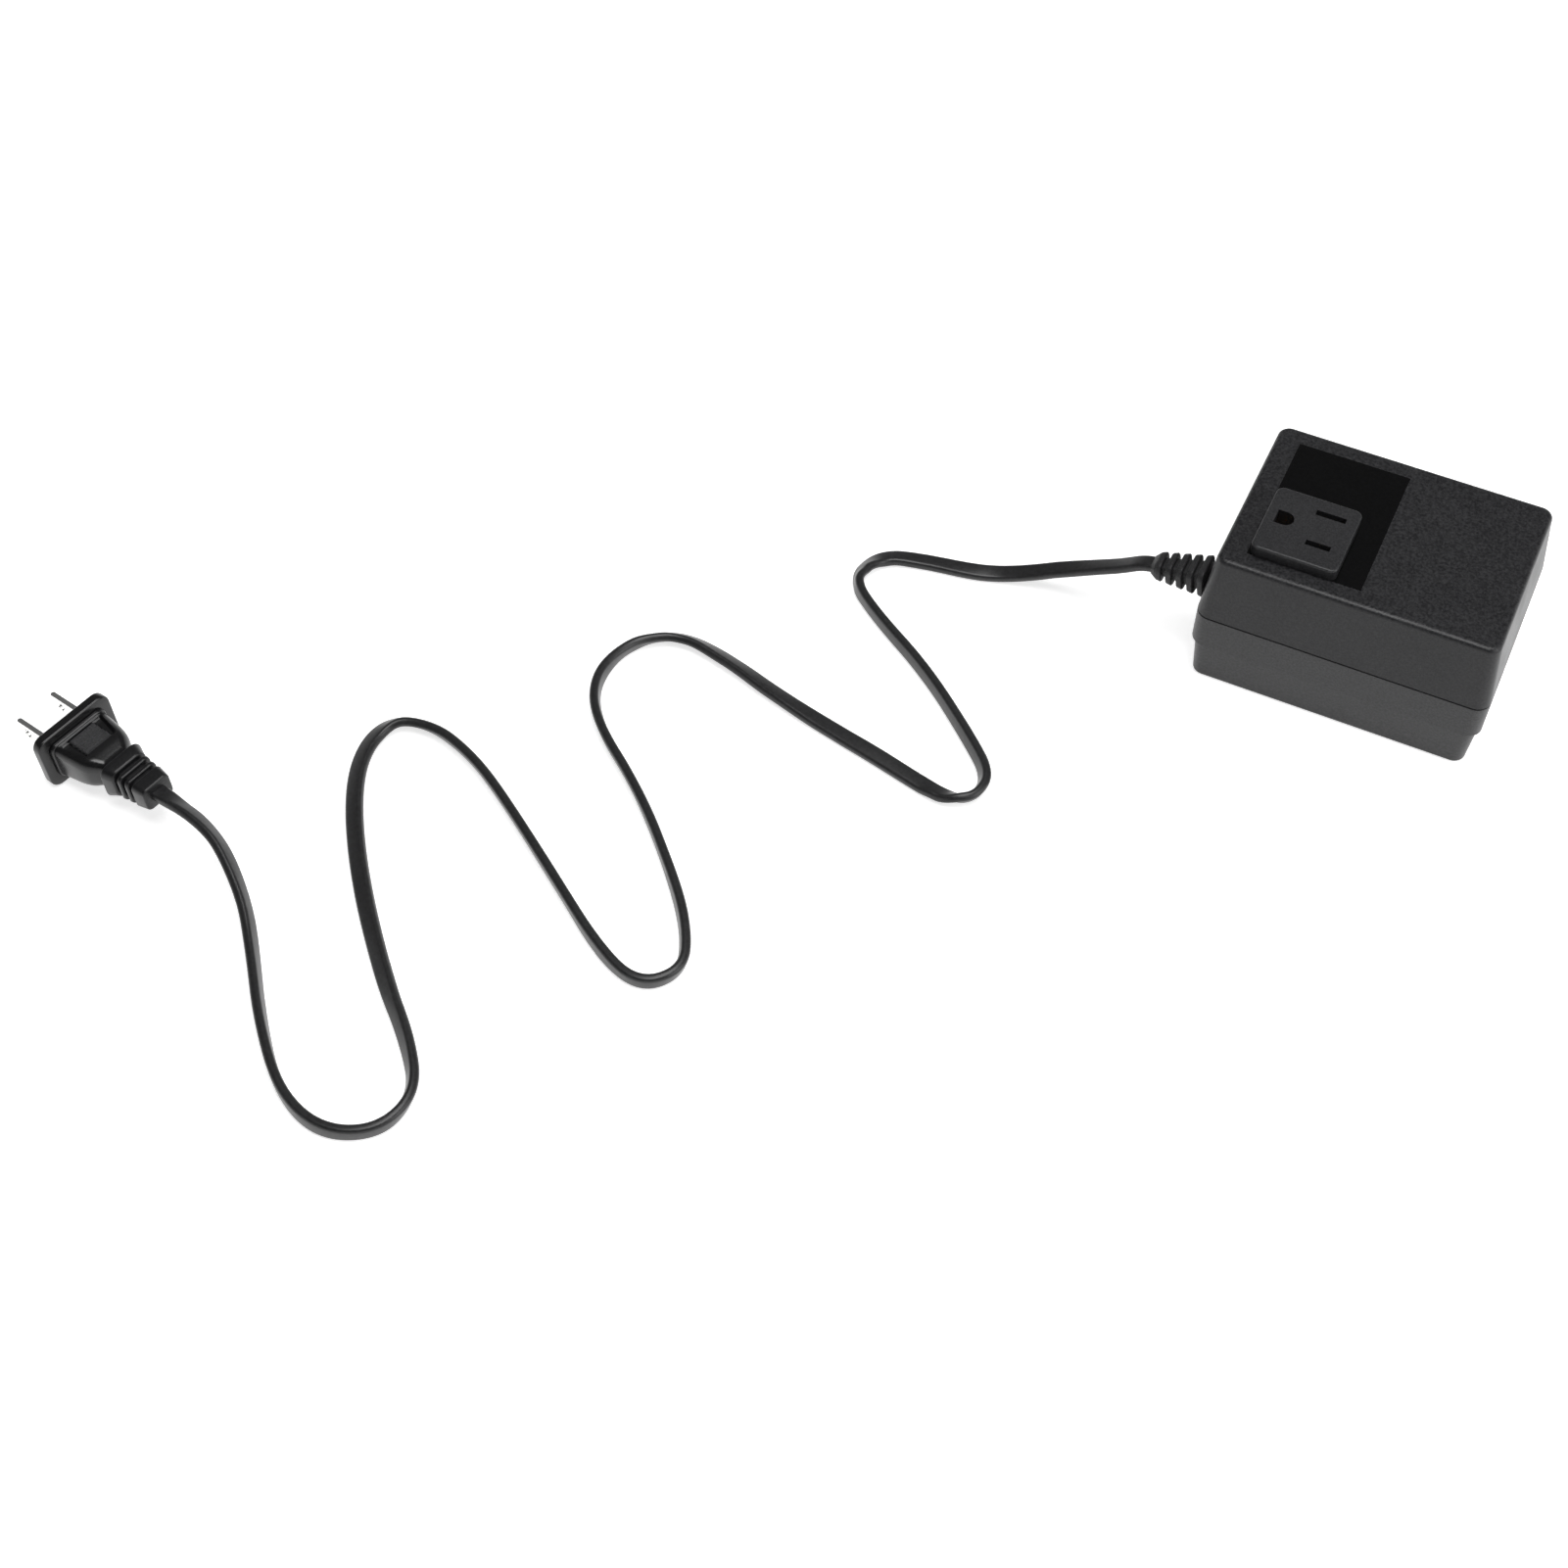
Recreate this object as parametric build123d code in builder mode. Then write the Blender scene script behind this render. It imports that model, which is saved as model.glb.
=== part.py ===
from build123d import *
import math
import os

os.makedirs("parts", exist_ok=True)

# All lengths are millimetres. The origin is the middle of the case's underside, X runs along the
# long side with the cord leaving at -X, and Z is up.

# Case: two moulded shells that meet at a flat seam, both drafted inwards away from it.
seam_length = 88.2
seam_depth = 67.0
lower_height = 26.6
upper_height = 22.4
top_inset = 2.45
base_inset = 2.0
ledge_height = 15.0
ledge_step = 1.0
seam_corner = 4.5
top_corner = 3.6
top_edge_round = 1.6
base_edge_round = 0.9
seam_bevel = 0.3
wall = 2.4
base_thickness = 2.5
cut_overrun = 1.0
slide_clearance = 0.1
thread_clearance = 0.05

case_height = lower_height + upper_height
top_length = seam_length - 2 * top_inset
top_depth = seam_depth - 2 * top_inset
base_length = seam_length - 2 * base_inset
base_depth = seam_depth - 2 * base_inset
ledge_length = seam_length - 2 * ledge_step
ledge_depth = seam_depth - 2 * ledge_step
inner_corner = seam_corner - wall
roof_inside = case_height - wall

# Seam lip: a tongue on the lower shell inside a rebate of the cover.
lip_height = 1.8
lip_thickness = 1.0
rebate_height = lip_height + 2 * slide_clearance
rebate_thickness = lip_thickness + slide_clearance
seam_inner_length = seam_length - 2 * wall
seam_inner_depth = seam_depth - 2 * wall

# Case screws: four, driven up from deep counterbores in the underside into the cover's bosses.
case_screw_diameter = 2.9
case_screw_length = 22.0
case_head_diameter = 5.6
case_head_height = 2.2
counterbore_diameter = 6.4
counterbore_depth = 14.0
lower_boss_diameter = 8.8
upper_boss_diameter = 6.8
boss_edge_distance = 8.0
pilot_spare_depth = 1.0
recess_width = 0.8
recess_depth = 1.2
recess_span_share = 0.55
case_screw_bite = counterbore_depth + case_screw_length - lower_height
boss_x = seam_length / 2 - boss_edge_distance
boss_y = seam_depth / 2 - boss_edge_distance

# Outlet: a raised three-hole face that stands on the cover, over a window in the roof.
outlet_side_margin = 7.8
outlet_front_margin = 5.9
outlet_length = 25.8
outlet_depth = 26.8
outlet_height = 3.9
outlet_corner = 2.4
outlet_edge_round = 0.7
window_inset = 1.8
window_corner = 1.0
slot_pitch = 12.7
earth_offset = 11.9
slot_width = 2.0
neutral_slot_length = 9.0
line_slot_length = 7.4
earth_hole_width = 5.4
earth_hole_length = 5.4
slots_x_shift = 4.75
slots_y_shift = 1.05
outlet_x = outlet_side_margin + outlet_length / 2 - top_length / 2
outlet_y = outlet_front_margin + outlet_depth / 2 - top_depth / 2
slots_x = outlet_x + slots_x_shift
slots_y = outlet_y + slots_y_shift
neutral_y = slots_y + slot_pitch / 2
line_y = slots_y - slot_pitch / 2
earth_x = slots_x - earth_offset
outlet_top = case_height + outlet_height
window_length = outlet_length - 2 * window_inset
window_depth = outlet_depth - 2 * window_inset

# Contact carrier: the block under the roof that holds the three brass contacts.
carrier_side_inset = 1.0
carrier_front_inset = 2.4
carrier_height = 14.0
carrier_length = outlet_length - 2 * carrier_side_inset
carrier_depth = outlet_depth - 2 * carrier_front_inset
carrier_bottom = roof_inside - carrier_height
pocket_length = 8.0
pocket_depth = 4.8
pocket_height = 10.0
contact_clearance = 0.2
contact_thickness = 0.6
contact_length = 6.4
contact_width = 4.2
tab_length = 3.0
tab_reach = 2.4
tab_slot_clearance = 0.1
earth_sleeve_outer = 6.2
earth_sleeve_wall = 0.5
earth_sleeve_slit = 1.0
outlet_screw_diameter = 2.4
outlet_screw_head = 4.2
outlet_screw_head_height = 1.4
outlet_screw_bite = 4.5
outlet_screw_edge_distance = 2.2
outlet_screw_earth_distance = 6.6

# Rating label: a bare dark sticker in front of, under and behind the outlet.
label_side_margin = 7.4
label_end_margin = 6.2
label_length = 34.0
label_thickness = 0.15
label_x = label_side_margin + label_length / 2 - top_length / 2
label_depth = top_depth - 2 * label_end_margin

# Transformer: stacked E and I laminations round a bobbin, held down by a steel strap.
core_side_room = 10.1
core_end_room = 4.9
core_carrier_gap = 8.2
core_head_room = 3.1
window_share = 0.5
core_bottom = 8.5
strap_thickness = 1.0
strap_clearance = 0.1
foot_reach = 5.6
foot_hole_diameter = 2.9
foot_hole_pitch_share = 0.6
mount_screw_diameter = 2.6
mount_screw_length = 6.0
mount_head_diameter = 4.6
mount_head_height = 1.6
post_diameter = 5.6
cradle_thickness = 2.0
core_width = seam_inner_depth - 2 * core_side_room
core_leg = core_width / (2 + 2 * window_share)
core_window = core_leg * window_share
core_back = core_leg / 2
core_window_height = roof_inside - core_head_room - core_bottom - 2 * core_back
e_height = core_back + core_window_height
core_top = core_bottom + e_height + core_back
strap_half_width = core_width / 2 + strap_clearance
foot_middle = strap_half_width + strap_thickness + foot_reach / 2

# Bobbin and windings: two layers of wire with tape between them and round the outside.
bobbin_wall = 1.0
bobbin_flange = 1.6
winding_clearance = 0.05
barrier_thickness = 0.4
outer_tape_thickness = 0.4
primary_share = 0.45
secondary_share = 0.35
flange_margin = 0.2
terminal_diameter = 0.8
terminal_reach = 3.2
terminal_depth = 3.0
terminal_pitch = 6.0
terminal_count = 4
bobbin_reach = core_window - flange_margin
core_right = seam_inner_length / 2 - core_end_room - bobbin_reach
core_left = outlet_x + carrier_length / 2 + core_carrier_gap + bobbin_reach
core_stack = core_right - core_left
core_x = (core_right + core_left) / 2
foot_hole_pitch = core_stack * foot_hole_pitch_share
coil_bottom = core_bottom + core_back + bobbin_flange
coil_height = core_window_height - 2 * bobbin_flange
coil_build = bobbin_reach - bobbin_wall - flange_margin
primary_build = coil_build * primary_share
secondary_build = coil_build * secondary_share
terminal_z = core_bottom + core_back + bobbin_flange / 2
coil_left = core_left - bobbin_reach

# Thermal fuse: a small barrel taped against the winding.
fuse_diameter = 3.6
fuse_length = 9.0
fuse_lead_diameter = 1.0
fuse_lead_length = 2.5

# Strain relief: a ribbed sleeve gripped by both shells at the seam, drooping outside.
relief_boss_distance = 8.5
relief_length = 18.2
relief_droop = 8.7
relief_rib_count = 5
relief_rib_thickness = 2.1
relief_root_width = 11.6
relief_root_height = 9.8
relief_tip_width = 8.4
relief_tip_height = 6.8
relief_core_inset = 1.25
relief_tip_length = 1.5
relief_mouth_margin = 0.6
relief_corner_share = 0.3
relief_neck_width = 8.6
relief_neck_height = 7.0
relief_flange_width = 9.6
relief_flange_height = 9.2
relief_flange_thickness = 1.5
relief_flange_gap = 0.7
relief_y = relief_boss_distance - boss_y

# Power cord: flat two-core lead. These points lie on the surface that the case stands on. A straight
# run leaves the strain relief ahead of them, and another enters the plug after them.
cord_width = 5.4
cord_thickness = 2.8
tail_length = 4.0
run_share = 0.45
cord_first_run = 3.0
cord_last_run = 8.0
cord_route = [
    (-71.5, -17.0, 18.9), (-79.0, -17.0, 14.8), (-87.0, -17.0, 10.4), (-95.0, -17.9, 6.7),
    (-103.0, -19.6, 4.1), (-110.0, -21.4, 2.7), (-116.5, -23.6, 2.7), (-132.0, -25.8, 2.7),
    (-145.5, -30.0, 2.7), (-149.3, -43.5, 2.7),
    (-137.0, -53.9, 2.7), (-113.2, -68.6, 2.7), (-91.0, -87.5, 2.7), (-81.0, -97.5, 2.7),
    (-81.6, -106.5, 2.7), (-88.4, -110.0, 2.7), (-99.4, -107.6, 2.7), (-118.0, -103.2, 2.7),
    (-147.0, -97.0, 2.7), (-170.0, -89.8, 2.7), (-187.5, -87.2, 2.7), (-199.5, -97.0, 2.7),
    (-202.5, -114.0, 2.7), (-194.0, -129.0, 2.7), (-169.9, -146.7, 2.7), (-146.2, -170.8, 2.7),
    (-135.5, -184.5, 2.7), (-130.5, -196.5, 2.7), (-138.5, -206.0, 2.7), (-153.0, -201.5, 2.7),
    (-178.0, -183.8, 2.7), (-206.0, -164.6, 2.7), (-221.0, -156.0, 2.7), (-236.0, -151.3, 2.7),
    (-248.3, -153.8, 2.7), (-251.3, -166.0, 2.7), (-245.0, -183.0, 2.7), (-227.5, -207.5, 2.7),
    (-203.0, -234.0, 2.7), (-187.0, -248.0, 2.7), (-176.5, -261.0, 2.7), (-178.8, -275.3, 2.7),
    (-193.0, -282.3, 2.7), (-209.5, -276.5, 2.7), (-226.0, -260.0, 2.7), (-241.0, -241.0, 2.7),
    (-250.1, -230.2, 5.0), (-263.1, -219.8, 9.2), (-272.5, -215.8, 11.4),
]

# Plug: a flat two-blade plug moulded on the cord, lying on the edge of its flange.
plug_x = -325.54
plug_y = -204.46
plug_heading = 167.7
plug_tilt = -3.9
flange_width = 26.4
flange_height = 18.6
flange_thickness = 3.2
flange_corner = 3.4
flange_edge_round = 0.5
plug_step = (20.4, 12.8, 2.4)
plug_step_thickness = 1.2
plug_body_start = (19.6, 12.2, 3.0)
plug_body_waist = (18.8, 12.0, 3.0)
plug_body_belly = (17.2, 11.6, 3.6)
plug_body_end = (12.4, 9.4, 3.0)
plug_waist_at = 9.0
plug_belly_at = 14.5
plug_neck_at = 19.0
plug_neck = (10.0, 8.8)
plug_collar_at = 21.4
plug_collar_thickness = 4.0
plug_collar_front = (15.0, 12.0, 3.0)
plug_collar_back = (12.8, 10.6, 2.8)
plug_rib_first = (11.8, 9.8)
plug_rib_last = (11.0, 9.2)
plug_rib_core = (8.6, 7.2)
plug_rib_count = 2
plug_rib_thickness = 1.4
plug_end_front = (10.9, 9.1)
plug_end_back = (9.8, 8.4)
plug_end_thickness = 4.6
plug_length = 36.8
plug_detail_corner = 1.6
blade_pitch = 12.7
blade_height = 6.35
blade_thickness = 1.5
blade_reach = 15.9
blade_tail = 6.0
blade_tip_share = 0.3
blade_hole_diameter = 3.2
blade_hole_from_tip = 4.0
bridge_plate_width = 17.6
bridge_plate_height = 10.0
bridge_plate_thickness = 2.0
bridge_core_width = 10.6
bridge_core_height = 7.0
bridge_core_length = 6.0

# Inner wires: insulated leads between the cord, the transformer and the outlet.
lead_diameter = 1.8

# Lower shell

with BuildPart() as lower_shell:
    with BuildSketch(Plane.XY):
        RectangleRounded(base_length, base_depth, top_corner)
    with BuildSketch(Plane.XY.offset(ledge_height)):
        RectangleRounded(ledge_length, ledge_depth, seam_corner - ledge_step)
    loft()
    fillet(lower_shell.faces().sort_by(Axis.Z)[0].edges(), base_edge_round)
    with BuildSketch(Plane.XY.offset(ledge_height)):
        RectangleRounded(seam_length, seam_depth, seam_corner)
    extrude(amount=lower_height - ledge_height)
    chamfer(lower_shell.faces().sort_by(Axis.Z)[-1].edges(), seam_bevel)
    with BuildSketch(Plane.XY.offset(base_thickness)):
        RectangleRounded(base_length - 2 * wall, base_depth - 2 * wall, top_corner - wall)
    with BuildSketch(Plane.XY.offset(lower_height)):
        RectangleRounded(seam_inner_length, seam_inner_depth, inner_corner)
    loft(mode=Mode.SUBTRACT)
    with BuildSketch(Plane.XY.offset(lower_height)):
        RectangleRounded(
            seam_inner_length + 2 * lip_thickness,
            seam_inner_depth + 2 * lip_thickness,
            inner_corner + lip_thickness,
        )
        RectangleRounded(seam_inner_length, seam_inner_depth, inner_corner, mode=Mode.SUBTRACT)
    extrude(amount=lip_height)
    with BuildSketch(Plane.XY.offset(base_thickness / 2)):
        with GridLocations(2 * boss_x, 2 * boss_y, 2, 2):
            Circle(lower_boss_diameter / 2)
    extrude(amount=lower_height - base_thickness / 2)
    with BuildSketch(Plane.XY.offset(base_thickness / 2)):
        with Locations((core_x, 0)):
            with GridLocations(foot_hole_pitch, 2 * foot_middle, 2, 2):
                Circle(post_diameter / 2)
            with GridLocations(core_stack - cradle_thickness, 0, 2, 1):
                Rectangle(cradle_thickness, core_width)
    extrude(amount=core_bottom - base_thickness / 2)
    with BuildSketch(Plane.XY):
        with GridLocations(2 * boss_x, 2 * boss_y, 2, 2):
            Circle(counterbore_diameter / 2)
    extrude(amount=counterbore_depth, mode=Mode.SUBTRACT)
    with BuildSketch(Plane.XY.offset(counterbore_depth - cut_overrun)):
        with GridLocations(2 * boss_x, 2 * boss_y, 2, 2):
            Circle(case_screw_diameter / 2 + slide_clearance)
    extrude(amount=lower_height - counterbore_depth + 2 * cut_overrun, mode=Mode.SUBTRACT)
    with BuildSketch(Plane.XY.offset(core_bottom - mount_screw_length)):
        with Locations((core_x, 0)):
            with GridLocations(foot_hole_pitch, 2 * foot_middle, 2, 2):
                Circle(mount_screw_diameter / 2 + thread_clearance)
    extrude(amount=mount_screw_length + cut_overrun, mode=Mode.SUBTRACT)
    with BuildSketch(Plane.YZ.offset(-seam_length / 2 - cut_overrun)):
        with Locations((relief_y, lower_height)):
            RectangleRounded(
                relief_neck_width + 2 * slide_clearance,
                relief_neck_height + 2 * slide_clearance,
                relief_neck_height * relief_corner_share,
            )
    extrude(amount=wall + 2 * cut_overrun, mode=Mode.SUBTRACT)
lower_shell.part.label = "lower_shell"
export_step(lower_shell.part, "parts/lower_shell.step")

# Upper cover

with BuildPart() as upper_cover:
    with BuildSketch(Plane.XY.offset(lower_height)):
        RectangleRounded(seam_length - 2 * seam_bevel, seam_depth - 2 * seam_bevel, seam_corner - seam_bevel)
    with BuildSketch(Plane.XY.offset(lower_height + seam_bevel)):
        RectangleRounded(seam_length, seam_depth, seam_corner)
    loft()
    with BuildSketch(Plane.XY.offset(lower_height + seam_bevel)):
        RectangleRounded(seam_length, seam_depth, seam_corner)
    with BuildSketch(Plane.XY.offset(case_height)):
        RectangleRounded(top_length, top_depth, top_corner)
    loft()
    fillet(upper_cover.faces().sort_by(Axis.Z)[-1].edges(), top_edge_round)
    with BuildSketch(Plane.XY.offset(lower_height)):
        RectangleRounded(seam_inner_length, seam_inner_depth, inner_corner)
    with BuildSketch(Plane.XY.offset(roof_inside)):
        RectangleRounded(top_length - 2 * wall, top_depth - 2 * wall, top_corner - wall)
    loft(mode=Mode.SUBTRACT)
    with BuildSketch(Plane.XY.offset(lower_height)):
        RectangleRounded(
            seam_inner_length + 2 * rebate_thickness,
            seam_inner_depth + 2 * rebate_thickness,
            inner_corner + rebate_thickness,
        )
    extrude(amount=rebate_height, mode=Mode.SUBTRACT)
    with BuildSketch(Plane.XY.offset(lower_height)):
        with GridLocations(2 * boss_x, 2 * boss_y, 2, 2):
            Circle(upper_boss_diameter / 2)
    extrude(amount=roof_inside - lower_height + wall / 2)
    with BuildSketch(Plane.XY.offset(lower_height)):
        with GridLocations(2 * boss_x, 2 * boss_y, 2, 2):
            Circle(case_screw_diameter / 2 + thread_clearance)
    extrude(amount=case_screw_bite + pilot_spare_depth, mode=Mode.SUBTRACT)
    with BuildSketch(Plane.XY.offset(roof_inside - cut_overrun)):
        with Locations((outlet_x, outlet_y)):
            RectangleRounded(window_length, window_depth, window_corner)
    extrude(amount=wall + 2 * cut_overrun, mode=Mode.SUBTRACT)
    with BuildSketch(Plane.YZ.offset(-seam_length / 2 - cut_overrun)):
        with Locations((relief_y, lower_height)):
            RectangleRounded(
                relief_neck_width + 2 * slide_clearance,
                relief_neck_height + 2 * slide_clearance,
                relief_neck_height * relief_corner_share,
            )
    extrude(amount=wall + 2 * cut_overrun, mode=Mode.SUBTRACT)
upper_cover.part.label = "upper_cover"
export_step(upper_cover.part, "parts/upper_cover.step")

# Case screws: pan heads with a crossed recess, one node for the four

with BuildPart() as case_screws:
    with BuildSketch(Plane.XY.offset(counterbore_depth - case_head_height)):
        with GridLocations(2 * boss_x, 2 * boss_y, 2, 2):
            Circle(case_head_diameter / 2)
    extrude(amount=case_head_height)
    with BuildSketch(Plane.XY.offset(counterbore_depth)):
        with GridLocations(2 * boss_x, 2 * boss_y, 2, 2):
            Circle(case_screw_diameter / 2)
    extrude(amount=case_screw_length)
    with BuildSketch(Plane.XY.offset(counterbore_depth - case_head_height)):
        with GridLocations(2 * boss_x, 2 * boss_y, 2, 2):
            Rectangle(case_head_diameter * recess_span_share, recess_width)
            Rectangle(recess_width, case_head_diameter * recess_span_share)
    extrude(amount=recess_depth, mode=Mode.SUBTRACT)
case_screws.part.label = "case_screws"
export_step(case_screws.part, "parts/case_screws.step")

# Rating label: bare sticker with a window for the outlet's spigot

with BuildPart() as rating_label:
    with BuildSketch(Plane.XY.offset(case_height)):
        with Locations((label_x, 0)):
            Rectangle(label_length, label_depth)
        with Locations((outlet_x, outlet_y)):
            RectangleRounded(window_length, window_depth, window_corner, mode=Mode.SUBTRACT)
    extrude(amount=label_thickness)
rating_label.part.label = "rating_label"
export_step(rating_label.part, "parts/rating_label.step")

# Outlet block: the raised face with two blade slots and a D-shaped earth hole

block_foot = case_height + label_thickness
earth_radius = earth_hole_width / 2
outlet_screw_right = outlet_x + window_length / 2 - outlet_screw_edge_distance
outlet_screw_places = [(earth_x + outlet_screw_earth_distance, slots_y), (outlet_screw_right, slots_y)]
with BuildPart() as outlet_block:
    with BuildSketch(Plane.XY.offset(block_foot)):
        with Locations((outlet_x, outlet_y)):
            RectangleRounded(outlet_length, outlet_depth, outlet_corner)
    extrude(amount=outlet_top - block_foot)
    fillet(outlet_block.faces().sort_by(Axis.Z)[-1].edges(), outlet_edge_round)
    with BuildSketch(Plane.XY.offset(roof_inside)):
        with Locations((outlet_x, outlet_y)):
            RectangleRounded(
                window_length - 2 * slide_clearance, window_depth - 2 * slide_clearance, window_corner
            )
    extrude(amount=block_foot - roof_inside)
    with BuildSketch(Plane.XY.offset(roof_inside - cut_overrun)):
        with Locations((slots_x, neutral_y)):
            Rectangle(neutral_slot_length, slot_width)
        with Locations((slots_x, line_y)):
            Rectangle(line_slot_length, slot_width)
        with Locations((earth_x, slots_y)):
            Circle(earth_radius)
        with Locations((earth_x - earth_radius / 2, slots_y)):
            Rectangle(earth_radius, earth_hole_length)
    extrude(amount=outlet_top - roof_inside + 2 * cut_overrun, mode=Mode.SUBTRACT)
    with BuildSketch(Plane.XY.offset(roof_inside)):
        with Locations(*outlet_screw_places):
            Circle(outlet_screw_diameter / 2 + thread_clearance)
    extrude(amount=outlet_screw_bite, mode=Mode.SUBTRACT)
outlet_block.part.label = "outlet_block"
export_step(outlet_block.part, "parts/outlet_block.step")

# Contact carrier: pockets for the contacts, slots for their tabs, holes for two screws

pocket_bottom = roof_inside - pocket_height
blade_places = [(slots_x, neutral_y), (slots_x, line_y)]
tab_places = [*blade_places, (earth_x, slots_y)]
with BuildPart() as contact_carrier:
    with BuildSketch(Plane.XY.offset(carrier_bottom)):
        with Locations((outlet_x, outlet_y)):
            RectangleRounded(carrier_length, carrier_depth, window_corner)
    extrude(amount=carrier_height)
    with BuildSketch(Plane.XY.offset(pocket_bottom)):
        with Locations(*blade_places):
            Rectangle(pocket_length, pocket_depth)
        with Locations((earth_x, slots_y)):
            Circle(earth_sleeve_outer / 2 + contact_clearance)
    extrude(amount=pocket_height, mode=Mode.SUBTRACT)
    with BuildSketch(Plane.XY.offset(carrier_bottom)):
        with Locations(*tab_places):
            Rectangle(tab_length + 2 * tab_slot_clearance, contact_thickness + 2 * tab_slot_clearance)
        with Locations(*outlet_screw_places):
            Circle(outlet_screw_diameter / 2 + slide_clearance)
    extrude(amount=carrier_height, mode=Mode.SUBTRACT)
contact_carrier.part.label = "contact_carrier"
export_step(contact_carrier.part, "parts/contact_carrier.step")

# Blade contacts: folded brass springs whose two leaves pinch a blade

leaf_height = pocket_height - 2 * contact_clearance
leaf_straight = leaf_height / 3
leaf_pinch_at = leaf_height * 3 / 4
leaf_gap = contact_thickness * 2
leaf_inner = contact_width / 2 - contact_thickness
leaf_pinch = leaf_gap / 2 + contact_thickness
tab_bottom = carrier_bottom - tab_reach
for contact_name, contact_y in (("neutral_contact", neutral_y), ("line_contact", line_y)):
    with BuildPart() as blade_contact:
        with BuildSketch(Plane.YZ.offset(slots_x - contact_length / 2)):
            for side in (-1, 1):
                with BuildLine():
                    Polyline(
                        (contact_y, pocket_bottom),
                        (contact_y + side * contact_width / 2, pocket_bottom),
                        (contact_y + side * contact_width / 2, pocket_bottom + leaf_straight),
                        (contact_y + side * leaf_pinch, pocket_bottom + leaf_pinch_at),
                        (contact_y + side * contact_width / 2, pocket_bottom + leaf_height),
                        (contact_y + side * leaf_inner, pocket_bottom + leaf_height),
                        (contact_y + side * leaf_gap / 2, pocket_bottom + leaf_pinch_at),
                        (contact_y + side * leaf_inner, pocket_bottom + leaf_straight),
                        (contact_y + side * leaf_inner, pocket_bottom + contact_thickness),
                        (contact_y, pocket_bottom + contact_thickness),
                        close=True,
                    )
                make_face()
        extrude(amount=contact_length)
        with BuildSketch(Plane.XY.offset(tab_bottom)):
            with Locations((slots_x, contact_y)):
                Rectangle(tab_length, contact_thickness)
        extrude(amount=pocket_bottom - tab_bottom)
    blade_contact.part.label = contact_name
    export_step(blade_contact.part, "parts/" + contact_name + ".step")

# Earth contact: a slit brass sleeve on a flat tab

with BuildPart() as earth_contact:
    with BuildSketch(Plane.XY.offset(pocket_bottom)):
        with Locations((earth_x, slots_y)):
            Circle(earth_sleeve_outer / 2)
    extrude(amount=contact_thickness)
    with BuildSketch(Plane.XY.offset(pocket_bottom + contact_thickness)):
        with Locations((earth_x, slots_y)):
            Circle(earth_sleeve_outer / 2)
            Circle(earth_sleeve_outer / 2 - earth_sleeve_wall, mode=Mode.SUBTRACT)
        with Locations((earth_x - earth_sleeve_outer / 2, slots_y)):
            Rectangle(earth_sleeve_outer / 2, earth_sleeve_slit, mode=Mode.SUBTRACT)
    extrude(amount=leaf_height - contact_thickness)
    with BuildSketch(Plane.XY.offset(tab_bottom)):
        with Locations((earth_x, slots_y)):
            Rectangle(tab_length, contact_thickness)
    extrude(amount=pocket_bottom - tab_bottom)
earth_contact.part.label = "earth_contact"
export_step(earth_contact.part, "parts/earth_contact.step")

# Outlet screws: two, driven up through the carrier into the outlet block

with BuildPart() as outlet_screws:
    with BuildSketch(Plane.XY.offset(carrier_bottom - outlet_screw_head_height)):
        with Locations(*outlet_screw_places):
            Circle(outlet_screw_head / 2)
    extrude(amount=outlet_screw_head_height)
    with BuildSketch(Plane.XY.offset(carrier_bottom)):
        with Locations(*outlet_screw_places):
            Circle(outlet_screw_diameter / 2)
    extrude(amount=carrier_height + outlet_screw_bite - slide_clearance)
    with BuildSketch(Plane.XY.offset(carrier_bottom - outlet_screw_head_height)):
        with Locations(*outlet_screw_places):
            Rectangle(outlet_screw_head * recess_span_share, recess_width)
            Rectangle(recess_width, outlet_screw_head * recess_span_share)
    extrude(amount=outlet_screw_head_height / 2, mode=Mode.SUBTRACT)
outlet_screws.part.label = "outlet_screws"
export_step(outlet_screws.part, "parts/outlet_screws.step")

# Transformer core: E laminations open at the top, closed by I laminations

window_middle = core_leg / 2 + core_window / 2
window_floor = core_bottom + core_back
with BuildPart() as core_e_laminations:
    with BuildSketch(Plane.YZ.offset(core_left)):
        with Locations((0, core_bottom + e_height / 2)):
            Rectangle(core_width, e_height)
        with Locations((-window_middle, window_floor + core_window_height / 2)):
            Rectangle(core_window, core_window_height, mode=Mode.SUBTRACT)
        with Locations((window_middle, window_floor + core_window_height / 2)):
            Rectangle(core_window, core_window_height, mode=Mode.SUBTRACT)
    extrude(amount=core_stack)
core_e_laminations.part.label = "core_e_laminations"
export_step(core_e_laminations.part, "parts/core_e_laminations.step")

with BuildPart() as core_i_laminations:
    with BuildSketch(Plane.YZ.offset(core_left)):
        with Locations((0, core_bottom + e_height + core_back / 2)):
            Rectangle(core_width, core_back)
    extrude(amount=core_stack)
core_i_laminations.part.label = "core_i_laminations"
export_step(core_i_laminations.part, "parts/core_i_laminations.step")

# Bobbin: a square tube with two flanges round the middle leg, with holes for the terminals

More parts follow.
